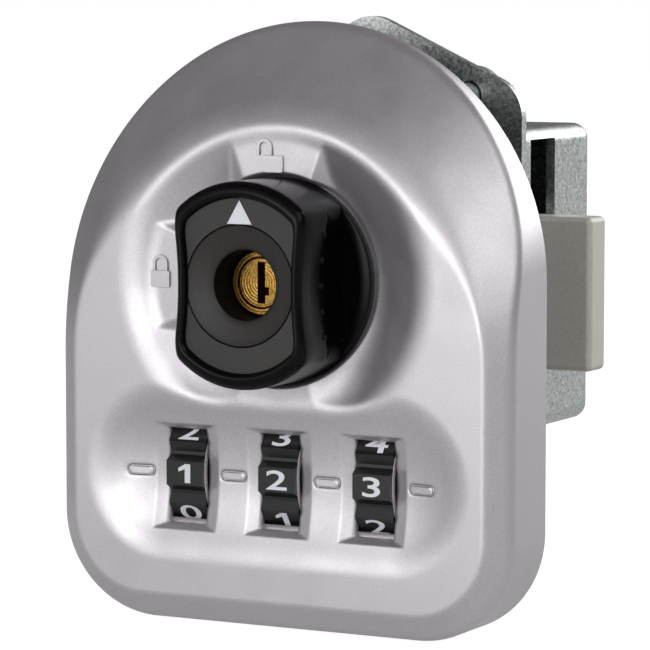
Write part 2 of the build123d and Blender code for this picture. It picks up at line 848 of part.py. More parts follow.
def lobed_outline():
    """Wheel's outline: flat pads for the digits with a narrow groove between each two."""
    step = 360 / lobe_count
    points = []
    for i in range(lobe_count):
        turn = 180 + i * step
        for distance, across in ((pad_r, -pad_w / 2), (pad_r, pad_w / 2)):
            points.append(Vector(distance, across).rotate(Axis.Z, turn))
        for across in (-groove_w / 2, groove_w / 2):
            points.append(Vector(pad_r - groove_depth, across).rotate(Axis.Z, turn + step / 2))
    with BuildSketch(Plane.XY) as outline:
        with BuildLine():
            Polyline(*points, close=True)
        make_face()
    return outline.sketch


# Code wheels, each pressed on a sleeve whose flange has the gate
for index, spot in enumerate(wheel_spots, start=1):
    with BuildPart() as code_wheel:
        with BuildSketch(at_x(spot - wheel_w / 2)):
            with Locations((wheel_y, wheel_z)):
                add(lobed_outline())
                Circle(sleeve_r + running / 2, mode=Mode.SUBTRACT)
        extrude(amount=wheel_w)
    code_wheel.part.label = f"code_wheel_{index}"
    export_step(code_wheel.part, f"parts/code_wheel_{index}.step")

    with BuildPart() as code_sleeve:
        with BuildSketch(at_x(spot - wheel_w / 2)):
            with Locations((wheel_y, wheel_z)):
                Circle(sleeve_r)
        extrude(amount=wheel_w)
        with BuildSketch(at_x(spot + gate_start)):
            with Locations((wheel_y, wheel_z)):
                Circle(gate_flange_r)
            with Locations((wheel_y, wheel_z + gate_flange_r)):
                Rectangle(bar_thick + 2 * seat_gap, 2 * gate_depth, mode=Mode.SUBTRACT)
        extrude(amount=gate_flange_w)
        with BuildSketch(at_x(spot - wheel_w / 2)):
            with Locations((wheel_y, wheel_z)):
                Circle(axle_r + running)
        extrude(amount=wheel_w + gate_flange_w, mode=Mode.SUBTRACT)
    code_sleeve.part.label = f"code_sleeve_{index}"
    export_step(code_sleeve.part, f"parts/code_sleeve_{index}.step")


# Leaf spring with a finger behind each wheel
with BuildPart() as wheel_leaf_spring:
    leaf_left = bay_starts[0] + seat_gap
    leaf_right = bay_ends[-1] - seat_gap
    with BuildSketch(at_y(bay_back)):
        with Locations(((leaf_left + leaf_right) / 2, bay_floor + running + leaf_base_h / 2)):
            Rectangle(leaf_right - leaf_left, leaf_base_h)
        finger_low = bay_floor + leaf_base_h / 2
        finger_high = wheel_z + leaf_top
        with Locations(*[(x, (finger_low + finger_high) / 2) for x in wheel_spots]):
            Rectangle(leaf_w, finger_high - finger_low)
    extrude(amount=leaf_thick)
    for spot in wheel_spots:
        with BuildSketch(at_x(spot - leaf_w / 2)):
            with Locations((bay_back - leaf_thick, wheel_z)):
                Circle(leaf_bump_r)
            with Locations((bay_back - leaf_thick + leaf_bump_r, wheel_z)):
                Rectangle(2 * leaf_bump_r, 2 * leaf_bump_r, mode=Mode.SUBTRACT)
        extrude(amount=leaf_w)
wheel_leaf_spring.part.label = "wheel_leaf_spring"
export_step(wheel_leaf_spring.part, "parts/wheel_leaf_spring.step")


# Screws that hold the body to the plate
with BuildPart() as body_screws:
    with BuildSketch(at_y(tab_y + tab_thick)):
        with Locations(*tab_spots):
            Circle(body_screw_r)
    extrude(amount=tab_y + tab_thick - body_screw_tip)
    with BuildSketch(at_y(tab_y + tab_thick + body_head_h)):
        with Locations(*tab_spots):
            Circle(body_head_r)
    extrude(amount=body_head_h)
body_screws.part.label = "body_screws"
export_step(body_screws.part, "parts/body_screws.step")


# Rear flange, cut from sheet, with an ear for each screw
with BuildPart() as rear_flange:
    with BuildSketch(at_y(flange_back)):
        with Locations(*ear_spots):
            Circle(ear_r)
        make_hull()
        with Locations(*fixing_spots):
            Circle(fixing_r + fixing_hole_play, mode=Mode.SUBTRACT)
        Circle(spindle_r + move_gap, mode=Mode.SUBTRACT)
        with Locations(*channel_rivet_spots, *case_rivet_spots):
            Circle(rivet_r + running, mode=Mode.SUBTRACT)
    extrude(amount=flange_thick)
rear_flange.part.label = "rear_flange"
export_step(rear_flange.part, "parts/rear_flange.step")


# Dome-headed screws through the flange and the door into the plate
with BuildPart() as mounting_screws:
    with BuildSketch(at_y(flange_back)):
        with Locations(*fixing_spots):
            Circle(fixing_r)
    extrude(amount=flange_back + fixing_grip)
    with BuildSketch(at_y(flange_back + fixing_head_h)):
        with Locations(*fixing_spots):
            Circle(fixing_head_r)
    extrude(amount=fixing_head_h)
    fillet(edges().filter_by(GeomType.CIRCLE).group_by(Axis.Y)[-1], fixing_head_h - fixing_head_rim)
mounting_screws.part.label = "mounting_screws"
export_step(mounting_screws.part, "parts/mounting_screws.step")


# Bolt case: a folded box, open towards the door, with tabs against the flange
case_middle = (case_top + case_bottom) / 2
case_depth = case_back - flange_back

with BuildPart() as case_shell:
    with BuildSketch(at_y(case_back)):
        with Locations((0, case_middle)):
            Rectangle(2 * case_half_w, case_top - case_bottom)
    extrude(amount=case_depth)
    fillet(edges().filter_by(Axis.Y) + edges().group_by(Axis.Y)[-1], case_bend)
    with BuildSketch(at_y(case_back - case_sheet)):
        with Locations((0, case_middle)):
            inner_w = 2 * (case_half_w - case_sheet)
            RectangleRounded(inner_w, case_inner_top - case_inner_bottom, case_bend - case_sheet)
    extrude(amount=case_depth - case_sheet, mode=Mode.SUBTRACT)
    with BuildSketch(at_y(flange_back + case_sheet)):
        with Locations(*case_rivet_spots):
            Rectangle(case_tab_w, case_tab_h)
    extrude(amount=case_sheet)
    with BuildSketch(at_y(flange_back + case_sheet)):
        with Locations(*case_rivet_spots):
            Circle(rivet_r + running)
    extrude(amount=case_sheet, mode=Mode.SUBTRACT)
    with BuildSketch(at_x(0)):
        slot_middle = (case_slot_front + case_slot_back) / 2
        with Locations((slot_middle, (case_slot_top + channel_bottom) / 2)):
            Rectangle(case_slot_back - case_slot_front, case_slot_top - channel_bottom)
    extrude(amount=case_half_w, mode=Mode.SUBTRACT)
case_shell.part.label = "case_shell"
export_step(case_shell.part, "parts/case_shell.step")


# Channel that guides the bolt: a folded sheet with a web behind it and a foot on each leg
with BuildPart() as bolt_channel:
    outer_top = channel_top + channel_sheet
    outer_bottom = channel_bottom - channel_sheet
    with BuildSketch(at_x(-channel_half)):
        with Locations(((flange_back + channel_web + channel_sheet) / 2, (outer_top + outer_bottom) / 2)):
            Rectangle(channel_web + channel_sheet - flange_back, outer_top - outer_bottom)
        with Locations(((flange_back + channel_web) / 2, (channel_top + channel_bottom) / 2)):
            Rectangle(channel_web - flange_back, channel_top - channel_bottom, mode=Mode.SUBTRACT)
    extrude(amount=2 * channel_half)
    with BuildSketch(at_y(flange_back + channel_sheet)):
        with Locations(*[(0, z) for z in foot_middles]):
            Rectangle(2 * channel_foot_half, channel_foot)
    extrude(amount=channel_sheet)
    with BuildSketch(at_y(drive_back + seat_gap)):
        Circle(drive_cam_r + move_gap)
    extrude(amount=drive_back + seat_gap - flange_back, mode=Mode.SUBTRACT)
    with BuildSketch(at_y(flange_back + channel_sheet)):
        with Locations(*channel_rivet_spots):
            Circle(rivet_r + running)
    extrude(amount=channel_sheet, mode=Mode.SUBTRACT)
bolt_channel.part.label = "bolt_channel"
export_step(bolt_channel.part, "parts/bolt_channel.step")


# Rivets of the case and of the channel, flush with the door side of the flange
for name, spots, sheet in (
    ("case_rivets", case_rivet_spots, case_sheet),
    ("channel_rivets", channel_rivet_spots, channel_sheet),
):
    with BuildPart() as rivets:
        with BuildSketch(at_y(flange_back + sheet)):
            with Locations(*spots):
                Circle(rivet_r)
        extrude(amount=flange_thick + sheet)
        with BuildSketch(at_y(flange_back + sheet + rivet_head_h)):
            with Locations(*spots):
                Circle(rivet_head_r)
        extrude(amount=rivet_head_h)
        fillet(edges().filter_by(GeomType.CIRCLE).group_by(Axis.Y)[-1], rivet_round)
    rivets.part.label = name
    export_step(rivets.part, f"parts/{name}.step")


# Deadbolt, a die-cast bar with a slot for the crank pin
with BuildPart() as deadbolt:
    with BuildSketch(at_x(bolt_tail)):
        with Locations(((bolt_front + bolt_back) / 2, (bolt_top + bolt_bottom) / 2)):
            Rectangle(bolt_thick, bolt_top - bolt_bottom)
    extrude(amount=bolt_nose - bolt_tail)
    fillet(edges().filter_by(Axis.X) + edges().group_by(Axis.X)[-1], bolt_edge)
    slot_half = crank_pin_r + move_gap
    slot_low = -crank_r - slot_half
    slot_high = -pin_rest + slot_half
    with BuildSketch(at_y(bolt_back)):
        with Locations((-pin_rest, (slot_low + slot_high) / 2)):
            Rectangle(2 * slot_half, slot_high - slot_low)
    extrude(amount=bolt_thick, mode=Mode.SUBTRACT)
deadbolt.part.label = "deadbolt"
export_step(deadbolt.part, "parts/deadbolt.step")
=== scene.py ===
# %% [markdown]
# # A combination locker lock
# The lock is a die-cast face plate with three code wheels and a turn knob in front of a
# locker door, and a plated steel case with the bolt behind it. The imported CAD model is
# loaded first. It is the fixed frame: every piece made here sits where the CAD says.

# %% Load the frame
from math import copysign, cos, hypot, pi, radians, sin, sqrt

import bmesh
import bpy
import numpy as np
from mathutils import Matrix, Vector
from mathutils.geometry import delaunay_2d_cdt


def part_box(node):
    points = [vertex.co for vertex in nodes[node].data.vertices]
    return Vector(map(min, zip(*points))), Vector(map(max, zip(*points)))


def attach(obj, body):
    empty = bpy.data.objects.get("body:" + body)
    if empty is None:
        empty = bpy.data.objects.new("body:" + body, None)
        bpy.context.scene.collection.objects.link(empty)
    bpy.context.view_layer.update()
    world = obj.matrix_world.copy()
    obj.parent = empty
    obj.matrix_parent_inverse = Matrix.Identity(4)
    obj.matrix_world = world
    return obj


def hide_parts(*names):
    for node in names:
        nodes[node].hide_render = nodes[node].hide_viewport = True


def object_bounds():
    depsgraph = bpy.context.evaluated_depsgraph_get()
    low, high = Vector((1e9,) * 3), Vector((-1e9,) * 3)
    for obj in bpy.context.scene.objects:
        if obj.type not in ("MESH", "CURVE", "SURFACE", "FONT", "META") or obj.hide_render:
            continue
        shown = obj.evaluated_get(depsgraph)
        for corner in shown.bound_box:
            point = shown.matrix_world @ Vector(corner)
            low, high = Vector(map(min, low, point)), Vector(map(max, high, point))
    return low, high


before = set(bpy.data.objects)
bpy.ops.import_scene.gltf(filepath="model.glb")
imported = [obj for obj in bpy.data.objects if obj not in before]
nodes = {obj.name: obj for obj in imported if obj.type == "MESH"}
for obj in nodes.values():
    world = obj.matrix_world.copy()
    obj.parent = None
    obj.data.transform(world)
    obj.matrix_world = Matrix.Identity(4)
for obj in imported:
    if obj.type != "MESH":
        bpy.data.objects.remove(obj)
cad_box = [list(corner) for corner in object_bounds()]
print("nodes:", len(nodes), "box in mm:", [[round(v * 1000, 1) for v in c] for c in cad_box])

# %% [markdown]
# ## Small helpers
# Colours are written as sRGB hex values, and one function turns them into the linear
# numbers that the renderer works in. Another adds a node with its settings and links, so
# that a tree reads like a list. Sizes are in millimetres and become metres when a mesh is
# made.

# %% Helpers
MM = 0.001
MATH, VECTOR_MATH, XYZ = "ShaderNodeMath", "ShaderNodeVectorMath", "ShaderNodeCombineXYZ"


def colour(hex_code):
    """Linear RGBA of an sRGB hex colour."""
    parts = [int(hex_code[i : i + 2], 16) / 255 for i in (1, 3, 5)]
    return [p / 12.92 if p <= 0.04045 else ((p + 0.055) / 1.055) ** 2.4 for p in parts] + [1.0]


def node(tree, kind, inputs=None, **settings):
    """Add a node. An input given as a node or a socket is linked, and any other is set."""
    made = tree.nodes.new(kind)
    for name, value in settings.items():
        setattr(made, name, value)
    for name, value in (inputs or {}).items():
        if isinstance(value, bpy.types.Node):
            value = value.outputs[0]
        if isinstance(value, bpy.types.NodeSocket):
            tree.links.new(value, made.inputs[name])
        else:
            made.inputs[name].default_value = value
    return made


def add_object(name, data):
    """A new object in the scene that shows some data."""
    made = bpy.data.objects.new(name, data)
    bpy.context.scene.collection.objects.link(made)
    return made


def empty_tree(owner):
    """The cleared node tree of a material or a world."""
    owner.use_nodes = True
    owner.node_tree.nodes.clear()
    return owner.node_tree


def mesh_in_mm(name, verts, faces):
    """A mesh from points in millimetres."""
    mesh = bpy.data.meshes.new(name)
    mesh.from_pydata([tuple(v * MM for v in p) for p in verts], [], faces)
    return mesh


def finish_piece(name, mesh, materials, body, stands_for=()):
    """Make a mesh a piece with its materials and its body, and print its size."""
    piece = add_object(name, mesh)
    if not mesh.materials:
        for material in materials:
            mesh.materials.append(material)
    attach(piece, body)
    if stands_for:
        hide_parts(*stands_for)
    print(name, "triangles:", sum(len(p.vertices) - 2 for p in mesh.polygons))


# %% [markdown]
# ## Camera
# The photograph was taken with a long lens from the right and a little above, so the
# upright edges stay upright and the bolt shows beside the plate. A lens of 197 mm from
# about half a metre gives the same slight perspective. The camera is placed by two angles,
# in degrees, round the point in the middle of the picture.

# %% Camera
CAMERA_AZIMUTH, CAMERA_ELEVATION = 28.0, 5.5
CAMERA_DISTANCE, CAMERA_LENS, CAMERA_SENSOR = 0.53, 197.0, 36.0
LOOK_AT = Vector((0.0073, -0.011, -0.0065))


def aim(thing, azimuth, elevation, distance, target=Vector()):
    """Make a thing look at a target. Azimuth 0 is the lock's front, and positive its right."""
    a, e = radians(azimuth), radians(elevation)
    away = Vector((sin(a) * cos(e), -cos(a) * cos(e), sin(e)))
    thing.location = target + away * distance
    thing.rotation_mode = "QUATERNION"
    thing.rotation_quaternion = (-away).to_track_quat("-Z", "Y")


camera = add_object("camera", bpy.data.cameras.new("camera"))
aim(camera, CAMERA_AZIMUTH, CAMERA_ELEVATION, CAMERA_DISTANCE, LOOK_AT)
camera.data.lens = CAMERA_LENS
camera.data.sensor_width = CAMERA_SENSOR
camera.data.clip_start = 0.01
bpy.context.scene.camera = camera
bpy.context.scene.view_settings.view_transform = "Standard"
print("camera at", [round(v, 3) for v in camera.location])

# %% [markdown]
# ## Studio
# Satin metal shows the room more than its own colour, so the light is a soft studio. Its
# bright side is in front, a little to the left and just below eye level, and wider than it
# is tall. The room gets dim towards the ceiling and the back, which darkens the faces that
# look up or sideways. The camera sees a white card instead of this room.

# %% World
BRIGHT_TURN, BRIGHT_HEIGHT = radians(-12), -0.12
BRIGHT_SIDE = (sin(BRIGHT_TURN), -cos(BRIGHT_TURN), BRIGHT_HEIGHT)
HEIGHT_WEIGHT = 1.4
BRIGHT_EDGE, DIM_STRENGTH, BRIGHT_STRENGTH = 0.28, 0.15, 1.25
WHITE = (1, 1, 1, 1)

world = bpy.data.worlds.new("studio")
bpy.context.scene.world = world
tree = empty_tree(world)
looking = node(tree, "ShaderNodeTexCoord").outputs["Generated"]
weighted = node(tree, VECTOR_MATH, {0: looking, 1: (1, 1, HEIGHT_WEIGHT)}, operation="MULTIPLY")
weighted = node(tree, VECTOR_MATH, {0: weighted}, operation="NORMALIZE")
towards = node(tree, VECTOR_MATH, {0: weighted, 1: BRIGHT_SIDE}, operation="DOT_PRODUCT")
strength = node(tree, "ShaderNodeMapRange", {
    "Value": towards.outputs["Value"], "From Min": BRIGHT_EDGE, "From Max": 1.0,
    "To Min": DIM_STRENGTH, "To Max": BRIGHT_STRENGTH,
}, interpolation_type="SMOOTHSTEP")
room = node(tree, "ShaderNodeBackground", {"Color": WHITE, "Strength": strength})
card = node(tree, "ShaderNodeBackground", {"Color": WHITE, "Strength": 1.0})
path = node(tree, "ShaderNodeLightPath")
seen = node(tree, "ShaderNodeMixShader", {0: path.outputs["Is Camera Ray"], 1: room, 2: card})
node(tree, "ShaderNodeOutputWorld", {"Surface": seen})
print("studio: strength", DIM_STRENGTH, "to", BRIGHT_STRENGTH)

# %% [markdown]
# Three softboxes add what the room can't. One in front picks out the lips and creases. One
# high at the right lights the knob's side and the plate's right half. One behind at the right
# reaches the bolt's end and the steel case.

# %% Lamps


def softbox(name, place, size, watts):
    """A square lamp that looks at the lock from an azimuth, an elevation and a distance."""
    lamp = add_object(name, bpy.data.lights.new(name, "AREA"))
    lamp.data.shape = "SQUARE"
    lamp.data.size = size
    lamp.data.energy = watts
    aim(lamp, *place)
    print(name, "with", watts, "W")


softbox("front_softbox", (-8, 2, 0.6), 0.35, 1.3)
softbox("right_softbox", (56, 34, 0.9), 0.7, 2.8)
softbox("rear_softbox", (150, 26, 1.0), 0.7, 6.0)

# %% [markdown]
# The floor is grey paper that glows only for the camera and, more weakly, for glossy rays.
# So the ground is white and metal mirrors something bright, while the shadow stays.

# %% Floor
FLOOR_Z = cad_box[0][2] - 0.2 * MM
FLOOR_HALF = 6
GLOW_SEEN, GLOW_IN_GLOSS = 0.92, 0.4

floor_mesh = bpy.data.meshes.new("floor")
quad = ((-1, -1), (1, -1), (1, 1), (-1, 1))
corners = [(x * FLOOR_HALF, y * FLOOR_HALF, FLOOR_Z) for x, y in quad]
floor_mesh.from_pydata(corners, [], [(0, 1, 2, 3)])
floor = add_object("floor", floor_mesh)
floor_material = bpy.data.materials.new("white_studio_floor")
tree = empty_tree(floor_material)
paper = node(tree, "ShaderNodeBsdfDiffuse", {"Color": colour("#A8A8A8")})
path = node(tree, "ShaderNodeLightPath")
glossy, camera_ray = path.outputs["Is Glossy Ray"], path.outputs["Is Camera Ray"]
shown = node(tree, MATH, {0: glossy, 1: GLOW_IN_GLOSS}, operation="MULTIPLY")
shown = node(tree, MATH, {0: camera_ray, 1: shown}, operation="MAXIMUM")
shown = node(tree, MATH, {0: shown, 1: GLOW_SEEN}, operation="MULTIPLY")
glow = node(tree, "ShaderNodeEmission", {"Color": WHITE, "Strength": shown})
lit = node(tree, "ShaderNodeAddShader", {0: paper, 1: glow})
node(tree, "ShaderNodeOutputMaterial", {"Surface": lit})
floor_mesh.materials.append(floor_material)
print("floor at", round(FLOOR_Z / MM, 1), "mm")

# %% [markdown]
# ## Finishes
# Every material starts from what the real surface is: its colour in two close tones, how
# metallic and rough it is, and a fine relief. One function turns such a description into
# nodes. A pattern reads Object coordinates, which are metres here, so its scale is worked out
# from a real size: a grain of 0.3 mm gives a noise scale of 1 / 0.0003. A pixel of the
# picture is about 0.15 mm, so a finer real grain is drawn at twice that or more, to show.

# %% Material function
LOW_STOP, HIGH_STOP = 0.3, 0.7  # noise seldom leaves this range


def make_finish(name, tones, metallic, roughness, grain, relief,
                relief_grain=None, gloss=None, specular=0.5, stretch=None):
    """A material whose colour and height follow fine noise.

    A grain is a size in millimetres and the noise's detail. The relief is a height in
    millimetres and a strength. The gloss is a grain and the roughness at both its ends.
    """
    relief_grain = relief_grain or grain
    material = bpy.data.materials.new(name)
    tree = empty_tree(material)
    place = node(tree, "ShaderNodeTexCoord").outputs["Object"]
    if stretch:
        place = node(tree, "ShaderNodeMapping", {"Vector": place, "Scale": stretch})
    noise = {}
    for size_mm, detail in sorted({grain, relief_grain, gloss[0] if gloss else grain}):
        noise[size_mm, detail] = node(tree, "ShaderNodeTexNoise", {
            "Vector": place, "Scale": 1 / (size_mm * MM), "Detail": detail,
        })
    bump = node(tree, "ShaderNodeBump", {
        "Height": noise[relief_grain], "Strength": relief[1], "Distance": relief[0] * MM,
    })
    shader = node(tree, "ShaderNodeBsdfPrincipled", {
        "Base Color": colour(tones[0]), "Metallic": metallic, "Roughness": roughness,
        "Specular IOR Level": specular, "Normal": bump,
    })
    if len(tones) == 2:
        mixed = node(tree, "ShaderNodeValToRGB", {"Fac": noise[grain]})
        stops = mixed.color_ramp.elements
        stops[0].position, stops[0].color = LOW_STOP, colour(tones[0])
        stops[1].position, stops[1].color = HIGH_STOP, colour(tones[1])
        tree.links.new(mixed.outputs[0], shader.inputs["Base Color"])
    if gloss:
        rougher = node(tree, "ShaderNodeMapRange", {
            "Value": noise[gloss[0]], "From Min": LOW_STOP, "From Max": HIGH_STOP,
            "To Min": gloss[1], "To Max": gloss[2],
        })
        tree.links.new(rougher.outputs[0], shader.inputs["Roughness"])
    node(tree, "ShaderNodeOutputMaterial", {"Surface": shader})
    print("finish:", name)
    return material


# %% [markdown]
# The face plate is die-cast zinc with a satin silver coat: metal flakes under a thin matt
# film. It reflects broadly and evenly, a little lighter where it looks at the lamps. The
# flakes are finer than a pixel, so their grain is drawn at 0.25 mm. The film's thickness
# drifts over some 6 mm, which keeps the large reflections from looking like plastic.

# %% Satin silver coat
satin_silver = make_finish(
    "satin_silver_coat_on_diecast_zinc", ("#BAB6BA", "#C8C4C9"), 0.8, 0.42,
    grain=(0.25, 2.0), relief=(0.003, 0.5), gloss=((6.0, 2.0), 0.36, 0.44),
)

# %% [markdown]
# The knob is moulded ABS. The tool's polished steel gave its grip a deep gloss with long,
# shallow flow marks. Its sunk front panel was spark-eroded, which leaves a fine matt grain
# that looks grey beside the gloss. The bore was left as it came, dull and dark. Each face
# of the knob's shell gets one of the three, so the borders stay crisp. The low specular
# level keeps the black deep.

# %% Black plastics of the knob
knob_plastic = make_finish(
    "glossy_black_moulded_abs", ("#050404", "#080707"), 0.0, 0.24,
    grain=(0.6, 2.0), relief=(0.004, 0.4), relief_grain=(1.5, 2.0), specular=0.12,
)
panel_plastic = make_finish(
    "spark_textured_black_abs", ("#1A1817", "#282523"), 0.0, 0.5,
    grain=(0.28, 3.0), relief=(0.012, 0.7),
)
hole_plastic = make_finish(
    "unpolished_black_abs_of_the_bore", ("#070606",), 0.0, 0.7,
    grain=(0.4, 2.0), relief=(0.01, 0.5), specular=0.15,
)

# %% [markdown]
# The wheels are moulded acetal, a waxy plastic whose highlights are soft. The body behind
# the plate is nylon filled with glass fibres, which reach the surface and make it cloudy
# and dull. The arrow and the digits are white paint, opaque, smooth and faintly blue.

# %% Wheel plastic, body plastic and paint
wheel_plastic = make_finish(
    "black_moulded_acetal", ("#0F0F10", "#151517"), 0.0, 0.3,
    grain=(0.5, 2.0), relief=(0.003, 0.5), relief_grain=(0.3, 2.0),
)
body_plastic = make_finish(
    "glass_filled_dark_nylon", ("#17171A", "#242427"), 0.0, 0.55,
    grain=(0.8, 4.0), relief=(0.01, 0.6), relief_grain=(0.4, 2.0),
)
white_ink = make_finish(
    "white_filled_paint", ("#DDDFE6", "#EAECF2"), 0.0, 0.45,
    grain=(0.4, 2.0), relief=(0.004, 0.4), relief_grain=(0.2, 2.0),
)

# %% [markdown]
# The case, flange and screws are steel with bright zinc plating. Its crystals scatter light
# in small patches, so a mottle of about 0.4 mm changes the tone, and a coarser one the
# gloss. The bolt is a zinc casting tumbled to an even satin that hardly mirrors. Small inner
# parts are ground steel, whose fine lines run along X: real ones are finer than 0.2 mm.

# %% Zinc and steel
zinc_plate = make_finish(
    "bright_zinc_plated_steel_sheet", ("#878C8A", "#D3D7D5"), 1.0, 0.34,
    grain=(0.4, 4.0), relief=(0.01, 0.5), gloss=((0.8, 3.0), 0.28, 0.46),
)
bolt_zinc = make_finish(
    "tumbled_satin_zinc_casting", ("#C3BFB8", "#D0CCC5"), 0.2, 0.5,
    grain=(0.35, 3.0), relief=(0.006, 0.5),
)
ground_steel = make_finish(
    "ground_bright_steel", ("#A9AAAC", "#BEBFC1"), 1.0, 0.28,
    grain=(0.2, 2.0), relief=(0.004, 0.5), stretch=(0.12, 1.0, 1.0),
)

# %% [markdown]
# The key cylinder is turned brass. The tool leaves rings round its axis, which is Y here, so
# the relief follows the distance from that axis instead of the noise. Real rings are about
# 0.1 mm apart and are drawn at 0.45 mm to show.

# %% Turned brass
RING_PITCH = 0.45
turned_brass = make_finish(
    "turned_brass", ("#80602C", "#B08C46"), 1.0, 0.28, grain=(0.5, 2.0), relief=(0.008, 0.6),
)
tree = turned_brass.node_tree
across = node(tree, VECTOR_MATH, {
    0: tree.nodes["Texture Coordinate"].outputs["Object"], 1: (1, 0, 1),
}, operation="MULTIPLY")
radius = node(tree, VECTOR_MATH, {0: across}, operation="LENGTH")
waves = node(tree, MATH, {
    0: radius.outputs["Value"], 1: 2 * pi / (RING_PITCH * MM),
}, operation="MULTIPLY")
waves = node(tree, MATH, {0: waves}, operation="SINE")
tree.links.new(waves.outputs[0], tree.nodes["Bump"].inputs["Height"])
print("tool rings every", RING_PITCH, "mm")

# %% [markdown]
# ## Face plate
# The plate's front is one soft, cast surface: a flat middle, a crown that falls away to the
# rim, a round dish for the knob and a long trough for the wheels. Two pads in the dish
# carry the padlock signs, and a low ledge lies between the knob and the wheels. It could be
# carved with booleans and bevels, but here the surface follows a rule: for each point of
# the front view there is one depth, and the forms are blended with a soft minimum, which
# rounds a crease by a chosen amount. The main sizes come from the CAD boxes.

# %% Sizes of the plate, in millimetres
wheel_low, wheel_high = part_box("code_wheel_2")
WHEEL_Z = (wheel_low.z + wheel_high.z) / 2 / MM
PLATE_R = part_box("face_plate")[1].x / MM
PLATE_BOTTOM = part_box("face_plate")[0].z / MM
PLATE_CORNER, PLATE_DEPTH, RIM_ROUND = 16.0, 14.0, 1.0

# The flat middle ends in a crease that is crisp low down and soft at the top.
PLATEAU_R, PLATEAU_Z, PLATEAU_BOTTOM, PLATEAU_CORNER = 35.0, -12.4, PLATE_BOTTOM + 4.0, 12.0
CROWN_SLOPE = 0.8
CREASE, CREASE_GAIN, CREASE_LOW_Z, CREASE_HIGH_Z = 0.35, 3.4, -6, 22

# The dish's lip comes closer to the knob straight below it.
DISH_R, DISH_FLOOR_R, DISH_DEPTH, DISH_LIP = 24.8, 16.0, 3.6, 0.9
DISH_LOW_R, DISH_LOW_FROM, DISH_LOW_TO = 20.0, 5, 50.0
BORE_R = 10.05

# Raised sectors of the dish: middle and half angle, depth, sideways fall and its reach, blend.
PAD_DEPTH = 12.7
SECTORS = (
    (90, 21.0, PAD_DEPTH, 0.7, 60, 0.5),
    (180, 21.0, PAD_DEPTH, 0.7, 60, 0.5),
    (-90, 20.0, 13.3, 0.2, 80, 1.4),
)
SECTOR_END = 6.0

# The trough is part of a cylinder with ball ends, a little wider above the wheels' axis.
TROUGH_DEPTH, TROUGH_END_R, TROUGH_RUN, TROUGH_LIP = 2.3, 11.7, 19.3, 0.8
TROUGH_TOP_STRETCH = 1.06
TROUGH_R = (TROUGH_END_R**2 + TROUGH_DEPTH**2) / (2 * TROUGH_DEPTH)

# Windows with flared edges, and raised marks in shallow grooves beside them.
WINDOW_X = (-16.0, 0.0, 16.0)
WINDOW_W, WINDOW_H, WINDOW_DROP, WINDOW_BACK = 6.6, 14.6, 0.5, 10.5
WINDOW_Z = WHEEL_Z - WINDOW_DROP
FLARE_X, FLARE_Z, FLARE_DEPTH, FLARE_LIP = 2.15, 0.85, 0.75, 0.06
MARK_X = (-24.0, -8.0, 8.0, 24.0)
MARK_L, MARK_W, MARK_PROUD, MARK_SUNK = 4.0, 1.1, 0.3, 0.06
GROOVE_DEPTH, GROOVE_OUT, GROOVE_WIDTH = 0.26, 0.1, 0.16
print("plate radius", round(PLATE_R, 2), "wheels at", round(WHEEL_Z, 2))

# %% Blends and distances


def soft_min(a, b, k):
    """The lower of two depths, with the crease between them rounded over k."""
    h = np.clip(0.5 + 0.5 * (b - a) / k, 0, 1)
    return b * (1 - h) + a * h - k * h * (1 - h)


def soft_max(a, b, k):
    """The higher of two depths, blended in the same way."""
    return -soft_min(-a, -b, k)


def smooth_step(value, low, high):
    """0 below low and 1 above high, with a soft start and end."""
    t = np.clip((value - low) / (high - low), 0, 1)
    return t * t * (3 - 2 * t)


def arch_distance(x, z, radius, centre_z, bottom, corner):
    """Distance to a half-round-topped outline, negative inside it."""
    round_top = np.hypot(x, z - centre_z) - radius
    qx, qz = np.abs(x) - (radius - corner), bottom + corner - z
    beyond = np.hypot(np.maximum(qx, 0), np.maximum(qz, 0))
    box = beyond + np.minimum(np.maximum(qx, qz), 0) - corner
    return np.where(z >= centre_z, round_top, box)


def outline_distance(x, z):
    """Distance to the plate's outline."""
    return arch_distance(x, z, PLATE_R, 0, PLATE_BOTTOM, PLATE_CORNER)


def plateau_distance(x, z):
    """Distance to the edge of the plate's flat middle."""
    return arch_distance(x, z, PLATEAU_R, PLATEAU_Z, PLATEAU_BOTTOM, PLATEAU_CORNER)


def angle_off(x, z, middle):
    """Degrees between a point's direction from the knob's axis and a middle direction."""
    return np.abs((np.degrees(np.arctan2(z, x)) - middle + 180) % 360 - 180)


# %% The depth rule


def trough_depth(x, z):
    """Depth of the long trough, whose ends are part of a ball."""
    up = z - WHEEL_Z
    up = np.where(up > 0, up / TROUGH_TOP_STRETCH, up)
    off_axis = np.hypot(np.maximum(np.abs(x) - TROUGH_RUN, 0), up)
    off_axis = np.minimum(off_axis, TROUGH_R * 0.6)
    return PLATE_DEPTH - TROUGH_DEPTH + TROUGH_R - np.sqrt(TROUGH_R**2 - off_axis**2)


def dish_depth(x, z):
    """Depth of the conical dish with its raised sectors."""
    r = np.hypot(x, z)
    turn = smooth_step(angle_off(x, z, -90), DISH_LOW_FROM, DISH_LOW_TO)
    lip_r = DISH_LOW_R + (DISH_R - DISH_LOW_R) * turn
    slope = DISH_DEPTH / (lip_r - DISH_FLOOR_R)
    dish = PLATE_DEPTH - DISH_DEPTH + np.maximum(r - DISH_FLOOR_R, 0) * slope
    for middle, half_angle, level, fall, reach, blend in SECTORS:
        beside = np.clip(angle_off(x, z, middle) - half_angle, 0, reach)
        level = level - fall * r * np.sin(np.radians(beside))
        level = level - SECTOR_END * np.maximum(DISH_FLOOR_R - r, 0)
        dish = soft_max(dish, level, blend)
    return dish


